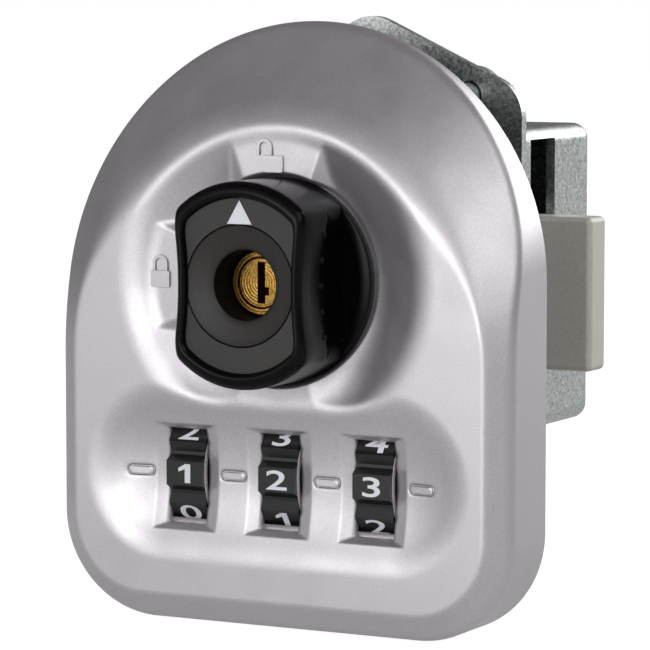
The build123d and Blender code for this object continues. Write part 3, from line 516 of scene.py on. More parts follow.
def add_details(depth, x, z):
    """Cut the flares round the windows and the grooves round the marks."""
    for spot in WINDOW_X:
        across = (np.abs(x - spot) - WINDOW_W / 2) / FLARE_X
        up = (np.abs(z - WINDOW_Z) - WINDOW_H / 2) / FLARE_Z
        share = np.clip(np.maximum(across, up), 0, 2)
        depth = soft_min(depth, trough_depth(x, z) - FLARE_DEPTH * (1 - share), FLARE_LIP)
    for spot in MARK_X:
        along = np.maximum(np.abs(x - spot) - (MARK_L - MARK_W) / 2, 0)
        beyond = np.hypot(along, z - WHEEL_Z) - MARK_W / 2
        depth = depth - GROOVE_DEPTH * np.exp(-(((beyond - GROOVE_OUT) / GROOVE_WIDTH) ** 2))
    return depth


def plate_depth(x, z, details=True):
    """How far the plate's front stands out from the door at a point of the front view."""
    crease = CREASE + CREASE_GAIN * smooth_step(z, CREASE_LOW_Z, CREASE_HIGH_Z)
    crown = PLATE_DEPTH - CROWN_SLOPE * plateau_distance(x, z)
    depth = soft_min(np.full_like(x, PLATE_DEPTH), crown, crease)
    depth = soft_min(depth, dish_depth(x, z), DISH_LIP)
    depth = soft_min(depth, trough_depth(x, z), TROUGH_LIP)
    if details:
        depth = add_details(depth, x, z)
    within = np.clip(-outline_distance(x, z), 0, RIM_ROUND)
    return depth - (RIM_ROUND - np.sqrt(RIM_ROUND**2 - (RIM_ROUND - within) ** 2))


print("depth of the pad:", round(float(plate_depth(np.array(0.0), np.array(17.4))), 2))

# %% [markdown]
# A Delaunay triangulation joins the points of the front and keeps the edges of the rim, the
# bore and the windows. The points lie where the form needs them: loops near the rim, round
# each window and mark, circles round the knob, and a field that is closer along the lips.

# %% Loops of points
RIM_STEP, FINE_STEP, COARSE_STEP = 0.5, 0.42, 0.85


def outline_loop(inset):
    """Points along the plate's outline, moved inwards by inset."""
    radius, bottom, corner = PLATE_R - inset, PLATE_BOTTOM + inset, PLATE_CORNER - inset
    inner = radius - corner
    arcs = (
        ((0, 0), radius, 0, 180), ((-inner, bottom + corner), corner, 180, 270),
        ((inner, bottom + corner), corner, 270, 360),
    )
    bends = []
    for centre, r, start, end in arcs:
        count = max(int(r * radians(end - start) / RIM_STEP), 4)
        for i in range(count + 1):
            a = radians(start + (end - start) * i / count)
            bends.append((centre[0] + r * cos(a), centre[1] + r * sin(a)))
    filled = []
    for (x0, z0), (x1, z1) in zip(bends, bends[1:] + bends[:1]):
        steps = max(int(hypot(x1 - x0, z1 - z0) / RIM_STEP + 0.5), 1)
        filled += [(x0 + (x1 - x0) * i / steps, z0 + (z1 - z0) * i / steps) for i in range(steps)]
    loop = [filled[0]]
    for p in filled[1:]:
        if hypot(p[0] - loop[-1][0], p[1] - loop[-1][1]) > 0.05:
            loop.append(p)
    return loop


def window_loop(spot, share, spacing=0.32):
    """Points round a window, on the line where its flare has come forward by a share."""
    hx, hz = WINDOW_W / 2 + FLARE_X * share, WINDOW_H / 2 + FLARE_Z * share
    corners = [(-hx, -hz), (hx, -hz), (hx, hz), (-hx, hz)]
    loop = []
    for (x0, z0), (x1, z1) in zip(corners, corners[1:] + corners[:1]):
        steps = int(hypot(x1 - x0, z1 - z0) / spacing)
        for i in range(steps):
            loop.append((spot + x0 + (x1 - x0) * i / steps, WINDOW_Z + z0 + (z1 - z0) * i / steps))
    return loop


def mark_loop(spot, out, spacing=0.2):
    """Points round a raised mark, outside its edge by a distance."""
    radius, half = MARK_W / 2 + out, (MARK_L - MARK_W) / 2
    if radius <= 0.05:
        return [(spot + half * t, WHEEL_Z) for t in np.linspace(-1, 1, 12)]
    straight = int(2 * half / spacing)
    turns = [pi * i / 8 for i in range(9)]
    right = [(spot + half + radius * sin(a), WHEEL_Z + radius * cos(a)) for a in turns]
    left = [(2 * spot - x, 2 * WHEEL_Z - z) for x, z in right]
    low = [(spot + half - 2 * half * i / straight, WHEEL_Z - radius) for i in range(1, straight)]
    high = [(2 * spot - x, 2 * WHEEL_Z - z) for x, z in low]
    return right + low + left + high


# %% Points of the loops
RIM_INSETS = (0.03, 0.12, 0.27, 0.48, 0.74, 1.0, 1.35, 1.8)
FLARE_SHARES = (0.2, 0.45, 0.7, 0.9, 0.97, 1.03, 1.1, 1.25, 1.45)
MARK_OFFSETS = (-0.5, -0.2, -0.05, 0.05, 0.15, 0.25, 0.36, 0.5)
points, kept_edges = [], []


def add_edge_loop(loop):
    """Add a loop of points whose edges the triangulation has to keep."""
    start = len(points)
    points.extend(loop)
    kept_edges.extend((start + i, start + (i + 1) % len(loop)) for i in range(len(loop)))


add_edge_loop(outline_loop(0))
for inset in RIM_INSETS:
    points.extend(outline_loop(inset))
bore_turns = np.linspace(0, 2 * pi, 97)[:-1]
add_edge_loop([(BORE_R * cos(a), BORE_R * sin(a)) for a in bore_turns])
for spot in WINDOW_X:
    add_edge_loop(window_loop(spot, 0))
    for share in FLARE_SHARES:
        points.extend(window_loop(spot, share))
for spot in MARK_X:
    for out in MARK_OFFSETS:
        points.extend(mark_loop(spot, out))
print("points on loops:", len(points), "kept edges:", len(kept_edges))

# %% Points of the circles and the field
POLAR_END = 26.4
CROWN_BAND, TROUGH_BAND, DISH_BAND = 1.6, 3.2, 1.2


def near_box(x, z, spots, centre_z, half_x, half_z):
    """Whether points lie in a box round any of the spots along the trough."""
    off_x = np.min([np.abs(x - spot) for spot in spots], axis=0)
    return (off_x < half_x) & (np.abs(z - centre_z) < half_z)


def near_a_lip(x, z):
    """Whether points lie along the trough's lip, the crown's crease or the dish's lip."""
    off_axis = np.hypot(np.maximum(np.abs(x) - TROUGH_RUN, 0), z - WHEEL_Z - 0.8)
    trough_lip = np.abs(off_axis - TROUGH_END_R) < TROUGH_BAND
    crown_crease = np.abs(plateau_distance(x, z)) < CROWN_BAND
    return trough_lip | crown_crease | (np.hypot(x, z) < POLAR_END + DISH_BAND)


def field(spacing, wanted):
    """An even field of points over the plate, thinned by a test on its arrays."""
    rows = np.arange(PLATE_BOTTOM, PLATE_R, spacing * 0.866)
    row = np.arange(-PLATE_R, PLATE_R, spacing)
    x = np.concatenate([row + spacing * 0.5 * (i % 2) for i in range(len(rows))])
    z = np.repeat(rows, len(row))
    free = (np.hypot(x, z) > POLAR_END + 0.3) & (outline_distance(x, z) < -2.1)
    free &= ~near_box(x, z, WINDOW_X, WINDOW_Z, WINDOW_W / 2 + 3.3, WINDOW_H / 2 + 1.7)
    free &= ~near_box(x, z, MARK_X, WHEEL_Z, MARK_L / 2 + 0.6, MARK_W / 2 + 0.6)
    chosen = free & wanted(x, z)
    points.extend(zip(x[chosen].tolist(), z[chosen].tolist()))


circles = np.concatenate([np.arange(10.6, 15.6, 0.8), np.arange(15.7, POLAR_END, 0.36)])
for r in circles:
    count = int(2 * pi * r / FINE_STEP)
    for a in np.arange(count) * 2 * pi / count:
        x, z = r * cos(a), r * sin(a)
        if not near_box(x, z, WINDOW_X, WINDOW_Z, 6.4, 8.8):
            points.append((x, z))
field(FINE_STEP, near_a_lip)
field(COARSE_STEP, lambda x, z: ~near_a_lip(x, z))
print("points on the plate's front:", len(points))

# %% Triangulate the front
flat_verts, _, flat_faces, _, _, _ = delaunay_2d_cdt(
    [Vector(p) for p in points], kept_edges, [], 0, 1e-6)
px, pz = (np.array([v[axis] for v in flat_verts]) for axis in (0, 1))
faces = np.array([list(f) for f in flat_faces])
cx, cz = px[faces].mean(1), pz[faces].mean(1)
solid = (outline_distance(cx, cz) < 0) & (np.hypot(cx, cz) > BORE_R * 0.9995)
solid &= ~near_box(cx, cz, WINDOW_X, WINDOW_Z, WINDOW_W / 2, WINDOW_H / 2)
faces = faces[solid]
print("faces of the front:", len(faces))

# %% [markdown]
# The sheet is lifted by the depth rule. Then its open edges are pulled straight back, the
# rim's down to the door and the windows' to the back of the trough's wall, which closes the
# seams to the hidden side.

# %% Lift the front and add the walls
build = bmesh.new()
made = [build.verts.new((x * MM, -d * MM, z * MM)) for x, d, z in zip(px, plate_depth(px, pz), pz)]
for f in faces.tolist():
    build.faces.new([made[i] for i in f])
bmesh.ops.delete(build, geom=[v for v in build.verts if not v.link_faces], context="VERTS")


def pull_back(is_on_edge, depth_mm):
    """Pull the open edges that pass a test straight to a depth, as a wall."""
    chosen = [
        e for e in build.edges
        if e.is_boundary and all(is_on_edge(v.co.x / MM, v.co.z / MM) for v in e.verts)
    ]
    wall = bmesh.ops.extrude_edge_only(build, edges=chosen)
    for v in wall["geom"]:
        if isinstance(v, bmesh.types.BMVert):
            v.co.y = -depth_mm * MM
    print("wall edges:", len(chosen))


pull_back(lambda x, z: abs(outline_distance(x, z)) < 0.05, 0.0)
for spot in WINDOW_X:
    pull_back(
        lambda x, z: near_box(x, z, [spot], WINDOW_Z, WINDOW_W / 2 + 0.01, WINDOW_H / 2 + 0.01),
        WINDOW_BACK,
    )
plate_mesh = bpy.data.meshes.new("face_plate_skin")
build.to_mesh(plate_mesh)
build.free()

# %% [markdown]
# Everything behind the front, such as the hollow, the posts and the window walls, is taken
# from a merged copy of the CAD mesh. Its own front is left out, and the back edges of its
# windows are moved to the edges of the new ones.

# %% Keep the hidden side of the CAD mesh
behind = nodes["face_plate"].data.copy()
build = bmesh.new()
build.from_mesh(behind)
bmesh.ops.remove_doubles(build, verts=build.verts, dist=0.002 * MM)
for v in build.verts:
    x, off = v.co.x / MM, v.co.z / MM - WHEEL_Z
    near = min(WINDOW_X, key=lambda spot: abs(x - spot))
    on_back = abs(v.co.y / MM + WINDOW_BACK) < 0.02 and abs(x - near) < WINDOW_W / 2 + 0.05
    if on_back and 6.5 < abs(off) < 7.4:  # the CAD's window edges lie 7 mm from the axis
        v.co.z = (WINDOW_Z + copysign(WINDOW_H / 2, off)) * MM


def is_front(face):
    """Whether a face of the CAD plate belongs to its old front."""
    c = face.calc_center_median() / MM
    x, z, depth = np.array(c.x), np.array(c.z), -c.y
    in_trough = abs(c.z - WHEEL_Z) < TROUGH_END_R and abs(c.x) < TROUGH_RUN + TROUGH_END_R
    facing = face.normal.y < -0.05 and depth > plate_depth(x, z, False) - 1.6
    outer_wall = abs(face.normal.y) < 0.05 and outline_distance(x, z) > -0.06
    in_dish = (hypot(c.x, c.z) < DISH_R + 0.1 and depth > PLATE_DEPTH - DISH_DEPTH - 0.05
               and not face.normal.y > 0.5)
    window_side = in_trough and depth > WINDOW_BACK - 0.05 and face.normal.y < 0.5
    return facing or outer_wall or in_dish or window_side


gone = [face for face in build.faces if is_front(face)]
print("faces of the CAD plate:", len(build.faces), "left out:", len(gone))
bmesh.ops.delete(build, geom=gone, context="FACES")
build.from_mesh(plate_mesh)
build.to_mesh(plate_mesh)
build.free()
plate_mesh.shade_smooth()
plate_mesh.set_sharp_from_angle(angle=radians(32))
finish_piece("face_plate_skin", plate_mesh, [satin_silver], "housing", ["face_plate"])

# %% [markdown]
# ## Pieces that stay as the CAD made them
# Screws, springs, cams, the case and the bolt are plain machined, turned or folded shapes.
# Their CAD meshes are kept and only get their finish. Even the two replaced nodes get one.

# %% Materials of the carried-over nodes
finishes = (
    (wheel_plastic, [f"code_wheel_{i}" for i in (1, 2, 3)]),
    (body_plastic, ["mechanism_body"]),
    (white_ink, ["pointer_inlay"]),
    (turned_brass, ["cylinder_barrel", "cylinder_plug"]),
    (zinc_plate, ["body_screws", "rear_flange", "mounting_screws", "case_shell", "case_rivets",
                  "bolt_channel", "channel_rivets"]),
    (bolt_zinc, ["deadbolt"]),
    (ground_steel, ["wheel_axle", "wheel_leaf_spring", "bar_springs", "plunger_spring",
                    "plunger_stopper", "retaining_ring", "spindle", "locking_cam", "drive_cam",
                    "locking_bar", "detent_plunger"] + [f"code_sleeve_{i}" for i in (1, 2, 3)]),
    (satin_silver, ["face_plate"]),
    (knob_plastic, ["knob"]),
)
for material, names in finishes:
    for name in names:
        nodes[name].data.materials.clear()
        nodes[name].data.materials.append(material)
print("nodes with a finish:", sum(len(names) for _, names in finishes))

# %% [markdown]
# ## Marks and bumps by Geometry Nodes
# The four raised marks beside the wheels repeat along the trough, and the outer two tilt
# with its ends, so they follow a rule: a point on a line is lifted to the trough's depth and
# turned by its slope. The same kind of tree sets the row of grip bumps on the knob's sides.
# Each tree has named inputs, nothing in it is random, and its result is made a plain mesh
# at once.

# %% A tree that ends in a plain mesh


def new_tree(name, inputs):
    """A geometry node tree with number inputs, and the sockets that give them."""
    tree = bpy.data.node_groups.new(name, "GeometryNodeTree")
    tree.interface.new_socket("Geometry", in_out="OUTPUT", socket_type="NodeSocketGeometry")
    for key, value in inputs.items():
        kind = "NodeSocketInt" if isinstance(value, int) else "NodeSocketFloat"
        tree.interface.new_socket(key, in_out="INPUT", socket_type=kind)
    return tree, node(tree, "NodeGroupInput").outputs


def close_tree(tree, geometry, material, smooth):
    """Realize the instances, set the material and shading, and link the output."""
    made = node(tree, "GeometryNodeRealizeInstances", {"Geometry": geometry})
    made = node(tree, "GeometryNodeSetShadeSmooth", {"Geometry": made, "Shade Smooth": smooth})
    done = node(tree, "GeometryNodeSetMaterial", {"Geometry": made, "Material": material})
    tree.links.new(done.outputs[0], node(tree, "NodeGroupOutput").inputs[0])


def plain_mesh(holder):
    """The mesh that a curve, text or modified object shows. The object itself is removed."""
    bpy.context.view_layer.update()
    evaluated = holder.evaluated_get(bpy.context.evaluated_depsgraph_get())
    mesh = bpy.data.meshes.new_from_object(evaluated)
    bpy.data.objects.remove(holder)
    return mesh


def tree_to_mesh(name, tree, values):
    """Run a tree with the given inputs on an empty mesh, and take what it makes."""
    holder = add_object(name, bpy.data.meshes.new(name + "_holder"))
    modifier = holder.modifiers.new("tree", "NODES")
    modifier.node_group = tree
    for item in tree.interface.items_tree:
        if item.in_out == "INPUT":
            modifier[item.identifier] = values[item.name]
    return plain_mesh(holder)


# %% Raised marks: the shape of one
mark_inputs = {
    "Count": len(MARK_X), "First": MARK_X[0] * MM, "Pitch": (MARK_X[1] - MARK_X[0]) * MM,
    "Length": MARK_L * MM, "Width": MARK_W * MM, "Corner": MARK_W / 2 * MM,
    "Side": MARK_PROUD * 0.75 * MM, "Chamfer": MARK_PROUD * 0.25 * MM,
    "Height": WHEEL_Z * MM, "Base": (PLATE_DEPTH - TROUGH_DEPTH - MARK_SUNK) * MM,
    "Run": TROUGH_RUN * MM, "Radius": TROUGH_R * MM,
}
tree, given = new_tree("raised_marks", mark_inputs)
pill = node(tree, "GeometryNodeCurvePrimitiveQuadrilateral", {
    "Width": given["Length"], "Height": given["Width"],
}, mode="RECTANGLE")
pill = node(tree, "GeometryNodeFilletCurve", {
    "Curve": pill, "Count": 8, "Radius": given["Corner"], "Limit Radius": True,
}, mode="POLY")
pill = node(tree, "GeometryNodeFillCurve", {"Curve": pill}, mode="NGONS")
rise = node(tree, "GeometryNodeExtrudeMesh", {
    "Mesh": pill, "Offset Scale": given["Side"], "Individual": False,
}, mode="FACES")
cap = node(tree, "GeometryNodeExtrudeMesh", {
    "Mesh": rise, "Selection": rise.outputs["Top"],
    "Offset Scale": given["Chamfer"], "Individual": False,
}, mode="FACES")
mark = node(tree, "GeometryNodeScaleElements", {
    "Geometry": cap, "Selection": cap.outputs["Top"], "Scale": 0.82,
})
mark = node(tree, "GeometryNodeTransform", {"Geometry": mark, "Rotation": (pi / 2, 0, 0)})

# %% Raised marks: their places along the trough
start = node(tree, XYZ, {0: given["First"], 2: given["Height"]})
step = node(tree, XYZ, {0: given["Pitch"]})
line = node(tree, "GeometryNodeMeshLine", {
    "Count": given["Count"], "Start Location": start, "Offset": step,
}, mode="OFFSET")
spot_x = node(tree, "ShaderNodeSeparateXYZ", {0: node(tree, "GeometryNodeInputPosition")})
out = node(tree, MATH, {0: spot_x}, operation="ABSOLUTE")
out = node(tree, MATH, {0: out, 1: given["Run"]}, operation="SUBTRACT")
out = node(tree, MATH, {0: out, 1: 0.0}, operation="MAXIMUM")
share = node(tree, MATH, {0: out, 1: given["Radius"]}, operation="DIVIDE")
lean = node(tree, MATH, {0: share}, operation="ARCSINE")
cosine = node(tree, MATH, {0: lean}, operation="COSINE")
level = node(tree, MATH, {0: given["Radius"], 1: cosine}, operation="MULTIPLY")
rise = node(tree, MATH, {0: given["Radius"], 1: level}, operation="SUBTRACT")
depth = node(tree, MATH, {0: given["Base"], 1: rise}, operation="ADD")
depth_y = node(tree, MATH, {0: depth, 1: -1.0}, operation="MULTIPLY")
lifted = node(tree, "GeometryNodeSetPosition", {
    "Geometry": line, "Offset": node(tree, XYZ, {1: depth_y}),
})
side = node(tree, MATH, {0: spot_x}, operation="SIGN")
back = node(tree, MATH, {0: lean, 1: -1.0}, operation="MULTIPLY")
tilt = node(tree, MATH, {0: side, 1: back}, operation="MULTIPLY")
marks = node(tree, "GeometryNodeInstanceOnPoints", {
    "Points": lifted, "Instance": mark,
    "Rotation": node(tree, XYZ, {2: tilt}),
})
close_tree(tree, marks, satin_silver, False)
marks_mesh = tree_to_mesh("trough_marks", tree, mark_inputs)
finish_piece("trough_marks", marks_mesh, [satin_silver], "housing")

# %% [markdown]
# ## Padlock signs
# A shut and an open padlock stand a little proud of the two pads beside the knob, cast with
# the plate. Each is a flat shape with a soft edge, which a filled curve with a small bevel
# gives directly.

# %% Outlines of the signs, in millimetres
SIGN_BODY_W, SIGN_BODY_H, SIGN_CORNER = 3.2, 2.5, 0.3
SHACKLE_R, SHACKLE_LINE, SHACKLE_GAP = 1.05, 0.42, 0.08
SIGN_PROUD, SIGN_SUNK, SIGN_BEVEL = 0.34, 0.02, 0.04


def shackle_points(centre_x, leg):
    """Outline of an upside-down U that stands a gap above the padlock's body."""
    outer, inner = SHACKLE_R + SHACKLE_LINE / 2, SHACKLE_R - SHACKLE_LINE / 2
    bottom = SIGN_BODY_H / 2 + SHACKLE_GAP
    top = bottom + leg
    turns = [pi * i / 14 for i in range(15)]
    over = [(centre_x + outer * cos(a), top + outer * sin(a)) for a in turns]
    under = [(centre_x + inner * cos(a), top + inner * sin(a)) for a in reversed(turns)]
    left_foot = [(centre_x - outer, bottom), (centre_x - inner, bottom)]
    return [(centre_x + outer, bottom)] + over + left_foot + under + [(centre_x + inner, bottom)]


def rounded_box(w, h, r):
    """Outline of a rectangle with rounded corners."""
    loop = []
    corners = ((w / 2 - r, h / 2 - r), (r - w / 2, h / 2 - r),
               (r - w / 2, r - h / 2), (w / 2 - r, r - h / 2))
    for quarter, (x, z) in enumerate(corners):
        for i in range(4):
            a = radians(90 * quarter + 30 * i)
            loop.append((x + r * cos(a), z + r * sin(a)))
    return loop


sign_body = rounded_box(SIGN_BODY_W, SIGN_BODY_H, SIGN_CORNER)
# Each sign: its shackle, and the place of its middle in the front view.
SIGNS = {
    "sign_open": (shackle_points(0.1 - SIGN_BODY_W / 2, 1.15), -0.4, 17.4),
    "sign_shut": (shackle_points(0, 1.05), -20.0, -0.5),
}
print("signs:", list(SIGNS))

# %% Signs


def sign_mesh(outlines):
    """Filled outlines with a soft edge, as one mesh that lies flat."""
    curve = bpy.data.curves.new("sign", "CURVE")
    curve.dimensions = "2D"
    curve.fill_mode = "BOTH"
    curve.extrude = SIGN_PROUD / 2 * MM
    curve.bevel_depth = SIGN_BEVEL * MM
    curve.bevel_resolution = 2
    for outline in outlines:
        spline = curve.splines.new("POLY")
        spline.points.add(len(outline) - 1)
        for point, (x, z) in zip(spline.points, outline):
            point.co = (x * MM, z * MM, 0, 1)
        spline.use_cyclic_u = True
    return plain_mesh(add_object("sign", curve))


upright = Matrix.Rotation(radians(90), 4, "X")
for name, (shackle, x, z) in SIGNS.items():
    mesh = sign_mesh([sign_body, shackle])
    y = SIGN_SUNK - PAD_DEPTH - SIGN_PROUD / 2
    mesh.transform(Matrix.Translation((x * MM, y * MM, z * MM)) @ upright)
    finish_piece(name, mesh, [satin_silver], "housing")

# %% [markdown]
# ## Knob
# The knob is one moulding with a waisted grip that two fingers hold. Its front rim is a
# thick soft roll round a sunk, textured panel with a shallow dish for the key. Below the
# roll the sides are cut back to a pocket for the fingertips, down to a round skirt. The
# outline is a circle cut by two large side circles, with the corners blended, so each level
# is a ring of points at the same angles, and the rings are joined in turn.

# %% Knob sizes, in millimetres
KNOB_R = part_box("knob")[1].x / MM
KNOB_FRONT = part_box("knob")[0].y / MM
KNOB_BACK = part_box("knob")[1].y / MM
WAIST, SIDE_R = 10.4, 54.6
PANEL_IN, PANEL_R_IN, PANEL_SUNK = 1.7, 2.5, 1.03
HOLE_R, KEY_DISH_R, KEY_DISH_DEPTH = 5.15, 9.0, 1.47
ROLL_FLAT, ROLL_DROP = 0.7, 1.5
SKIRT_R, SKIRT_FRONT, SKIRT_SUNK = 13.6, -12.1, 1.0
HUB_R, GROOVE_R, KNOB_UNDERSIDE = 10.0, 9.0, -10.7
PANEL_Y = KNOB_FRONT + PANEL_SUNK
turns = np.linspace(0, 2 * pi, 289)[:-1]


def grip_outline(waist, side_r, radius, blend):
    """Radius at each angle of a circle that two side circles cut, with blended corners."""
    c = np.abs(np.cos(turns))
    centre = waist + side_r
    inside = (centre * c) ** 2 - (centre**2 - side_r**2)
    side = np.where(inside > 0, centre * c - np.sqrt(np.maximum(inside, 0)), 99.0)
    return soft_min(np.full_like(c, radius), side, blend)


outer = grip_outline(WAIST, SIDE_R, KNOB_R, 2.6)
panel = grip_outline(WAIST - PANEL_IN, SIDE_R + PANEL_IN, KNOB_R - PANEL_R_IN, 1.6)
print("knob radius", round(float(outer.max()), 2), "waist", round(float(outer.min()), 2))

# %% Rings of the bore, the panel and the roll
GLOSS, PANEL, BORE = 0, 1, 2
rings = []


def ring(radius, y, finish=GLOSS):
    """Add a ring of points. The faces that lead to it get the finish."""
    rings.append((np.broadcast_to(radius, turns.shape), np.broadcast_to(y, turns.shape), finish))


for y in (KNOB_BACK, -12.0, -17.0, -20.0, -22.2):
    ring(HOLE_R, y, BORE)
ring(HOLE_R + 0.1, -22.42, BORE)
for r in (5.6, 6.4, 7.2, 8.0, 8.75):
    ring(r, PANEL_Y + KEY_DISH_DEPTH * (KEY_DISH_R - r) / (KEY_DISH_R - HOLE_R), PANEL)
ring(KEY_DISH_R - 0.12, PANEL_Y + 0.02, PANEL)
for out in (-0.03, 0.06):  # a fine glossy groove runs round the key dish
    ring(KEY_DISH_R + out, PANEL_Y + 0.12)
start = np.minimum(KEY_DISH_R + 0.15, panel - 0.05)
ring(start, PANEL_Y)
for share in (0.25, 0.5, 0.75, 0.95):
    ring(start + (panel - start) * share, PANEL_Y, PANEL)
ring(panel, PANEL_Y, PANEL)
for out, up in ((0.04, 0.25), (0.12, 0.5), (0.26, 0.72), (0.46, 0.9), (ROLL_FLAT, 1.0)):
    ring(panel + out, PANEL_Y - up * PANEL_SUNK)
start = panel + ROLL_FLAT
for t in (0.2, 0.36, 0.52, 0.66, 0.78, 0.88, 0.95, 1.0):
    ring(start + (outer - start) * t, KNOB_FRONT + ROLL_DROP * (1 - sqrt(1 - t * t)))
print("rings so far:", len(rings))

# %% Rings of the grip, the skirt and the underside
for y in (-22.6, -21.4, -20.2, -19.0, -18.0):
    ring(grip_outline(WAIST + 0.12, SIDE_R, KNOB_R, 2.4), y)
for y, waist in ((-17.4, 10.45), (-17.0, 10.2), (-16.5, 9.95), (-15.8, 9.8), (-14.4, 9.8),
                 (-13.2, 9.9), (SKIRT_FRONT, 10.1)):
    ring(grip_outline(waist, SIDE_R, KNOB_R, 2.0), y)
pocket = rings[-1][0]
sunk = smooth_step(SKIRT_R - pocket, 0.0, 0.5)  # 1 beside the pockets, 0 at the corners
for out, reach, drop in ((0.25, 0.0, SKIRT_SUNK), (0.3, SKIRT_R - 0.1, SKIRT_SUNK),
                         (0.32, SKIRT_R, 0.12), (0.34, SKIRT_R + 0.12, 0.0)):
    ring(np.maximum(pocket + out, reach).clip(max=KNOB_R), SKIRT_FRONT + drop * sunk)
ring(np.maximum(KNOB_R - 0.35, np.minimum(pocket + 0.34, KNOB_R)), SKIRT_FRONT)
for r, y in ((KNOB_R - 0.1, SKIRT_FRONT + 0.08), (KNOB_R, SKIRT_FRONT + 0.3),
             (KNOB_R, KNOB_UNDERSIDE), (HUB_R, KNOB_UNDERSIDE), (HUB_R, -7.35),
             (GROOVE_R, -7.35), (GROOVE_R, -6.35), (HUB_R, -6.35), (HUB_R, KNOB_BACK)):
    ring(r, y)
print("rings:", len(rings), "of", len(turns), "points")

# %% Join the rings


def ring_faces(ring_count, point_count):
    """Faces that join rings of points, and the last ring to the first."""
    faces = []
    for i in range(ring_count):
        here, there = i * point_count, (i + 1) % ring_count * point_count
        for k in range(point_count):
            m = (k + 1) % point_count
            faces.append((here + k, there + k, there + m, here + m))
    return faces


verts = [(r * cos(a), y, r * sin(a)) for radii, ys, _ in rings
         for r, y, a in zip(radii, ys, turns)]
mesh = mesh_in_mm("knob_shell", verts, ring_faces(len(rings), len(turns)))
face_finish = np.repeat([finish for _, _, finish in rings[1:] + rings[:1]], len(turns))
for material in (knob_plastic, panel_plastic, hole_plastic):
    mesh.materials.append(material)
mesh.polygons.foreach_set("material_index", face_finish.tolist())
mesh.shade_smooth()
mesh.set_sharp_from_angle(angle=radians(38))
finish_piece("knob_shell", mesh, [], "knob", ["knob"])

# %% [markdown]
# Five small bumps on each side of the grip keep the fingers from slipping. They stand on a
# line across the knob's side, which bulges a little away from the waist.

# %% Grip bumps on both sides of the knob
BUMP_COUNT, BUMP_PITCH, BUMP_R, BUMP_PROUD, BUMP_Y = 5, 3.75, 0.58, 0.02, -18.3
bump_inputs = {
    "Count": BUMP_COUNT, "First": (1 - BUMP_COUNT) * BUMP_PITCH / 2 * MM,
    "Pitch": BUMP_PITCH * MM, "Bump_radius": BUMP_R * MM, "Waist": (WAIST + BUMP_PROUD) * MM,
    "Side_diameter": 2 * SIDE_R * MM, "Depth": BUMP_Y * MM,
}
tree, given = new_tree("grip_bumps", bump_inputs)
bump = node(tree, "GeometryNodeMeshUVSphere", {
    "Segments": 20, "Rings": 12, "Radius": given["Bump_radius"],
})
bump = node(tree, "GeometryNodeTransform", {"Geometry": bump, "Scale": (0.8, 1.0, 1.0)})
line = node(tree, "GeometryNodeMeshLine", {
    "Count": given["Count"],
    "Start Location": node(tree, XYZ, {1: given["Depth"], 2: given["First"]}),
    "Offset": node(tree, XYZ, {2: given["Pitch"]}),
}, mode="OFFSET")
spot = node(tree, "ShaderNodeSeparateXYZ", {0: node(tree, "GeometryNodeInputPosition")})
square = node(tree, MATH, {0: spot.outputs[2], 1: spot.outputs[2]}, operation="MULTIPLY")
bulge = node(tree, MATH, {0: square, 1: given["Side_diameter"]}, operation="DIVIDE")
side_x = node(tree, MATH, {0: given["Waist"], 1: bulge}, operation="ADD")
placed = node(tree, "GeometryNodeSetPosition", {
    "Geometry": line, "Offset": node(tree, XYZ, {0: side_x}),
})
right = node(tree, "GeometryNodeInstanceOnPoints", {"Points": placed, "Instance": bump})
left = node(tree, "GeometryNodeTransform", {"Geometry": right, "Rotation": (0, pi, 0)})
both = node(tree, "GeometryNodeJoinGeometry", {0: right})
tree.links.new(left.outputs[0], both.inputs[0])
close_tree(tree, both, knob_plastic, True)
bumps_mesh = tree_to_mesh("grip_bumps", tree, bump_inputs)
finish_piece("grip_bumps", bumps_mesh, [knob_plastic], "knob")

# %% [markdown]
# ## Digits
# Each wheel has the ten digits in white on its flat pads, one up from the pad below it. They
# are printed, so they are thin: text is turned into a mesh, stretched to the wide letter of
# the real wheels and laid on the pads. The real 1 has a flag and no foot, so it is drawn.

# %% Shapes of the digits
WHEEL_Y = (wheel_low.y + wheel_high.y) / 2 / MM
PAD_R, DIGIT_PROUD = 10.6, 0.03
DIGIT_H, DIGIT_W = 3.0, 3.6
PADS = 10
ONE_SHAPE = ((-0.05, -0.5), (0.2, -0.5), (0.2, 0.5), (-0.04, 0.5), (-0.34, 0.27),
             (-0.34, 0.08), (-0.05, 0.22))
ONE_SCALE = (0.5, 0.7)


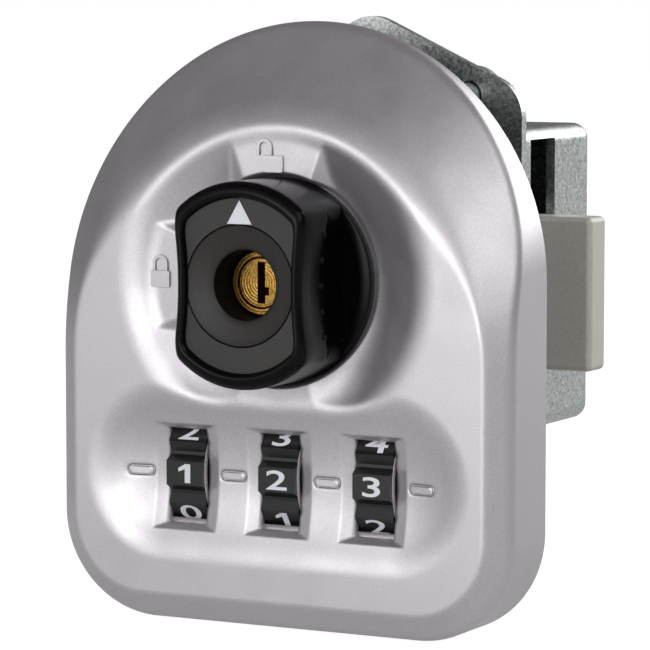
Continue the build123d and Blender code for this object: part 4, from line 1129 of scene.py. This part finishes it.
def digit_shape(digit):
    """Points and faces of a flat digit."""
    if digit == 1:
        return np.array(ONE_SHAPE) * ONE_SCALE, [(0, 1, 2, 6), (2, 3, 6), (3, 4, 5, 6)]
    text = bpy.data.curves.new("digit", "FONT")
    text.body = str(digit)
    text.size = 1.0
    text.offset = 0.012
    text.resolution_u = 6
    mesh = plain_mesh(add_object("digit", text))
    return np.array([v.co[:2] for v in mesh.vertices]), [tuple(p.vertices) for p in mesh.polygons]


zero_w, zero_h = np.ptp(digit_shape(0)[0], axis=0)
digit_scale = DIGIT_H / zero_h
digit_widen = DIGIT_W / (zero_w * digit_scale)
print("digits are widened by", round(digit_widen, 2))

# %% Digits on the wheels
for number, spot in enumerate(WINDOW_X, start=1):
    verts, faces = [], []
    for step in range(PADS):
        flat, shape = digit_shape((number + step) % PADS)
        middle = (flat.min(0) + flat.max(0)) / 2
        turn = -2 * pi * step / PADS
        start = len(verts)
        for u, v in (flat - middle) * digit_scale:
            y, z = -(PAD_R + DIGIT_PROUD), v
            verts.append((
                spot + u * digit_widen,
                WHEEL_Y + y * cos(turn) - z * sin(turn),
                WHEEL_Z + y * sin(turn) + z * cos(turn),
            ))
        faces += [tuple(start + i for i in p) for p in shape]
    name = f"wheel_digits_{number}"
    finish_piece(name, mesh_in_mm(name, verts, faces), [white_ink], f"dial_{number}")

# %% [markdown]
# A narrow bright crescent shows at the right of each wheel: the edge of its metal code
# sleeve, which turns with it. It is a thin washer against the wheel's right face.

# %% Sleeve edges beside the wheels
WASHER_IN, WASHER_OUT, WASHER_THICK, WASHER_GAP, WASHER_CHAMFER = 9.2, 10.0, 0.07, 0.01, 0.03
WASHER_STEPS = 120
profile = [(WASHER_IN, WASHER_GAP), (WASHER_IN, WASHER_THICK),
           (WASHER_OUT - WASHER_CHAMFER, WASHER_THICK), (WASHER_OUT, WASHER_GAP)]
half_width = (wheel_high.x - wheel_low.x) / 2 / MM
around = [2 * pi * k / WASHER_STEPS for k in range(WASHER_STEPS)]
faces = ring_faces(len(profile), WASHER_STEPS)
for number, spot in enumerate(WINDOW_X, start=1):
    verts = [
        (spot + half_width + out, WHEEL_Y + r * cos(a), WHEEL_Z + r * sin(a))
        for r, out in profile for a in around
    ]
    name = f"sleeve_edge_{number}"
    mesh = mesh_in_mm(name, verts, faces)
    finish_piece(name, mesh, [satin_silver], f"dial_{number}")
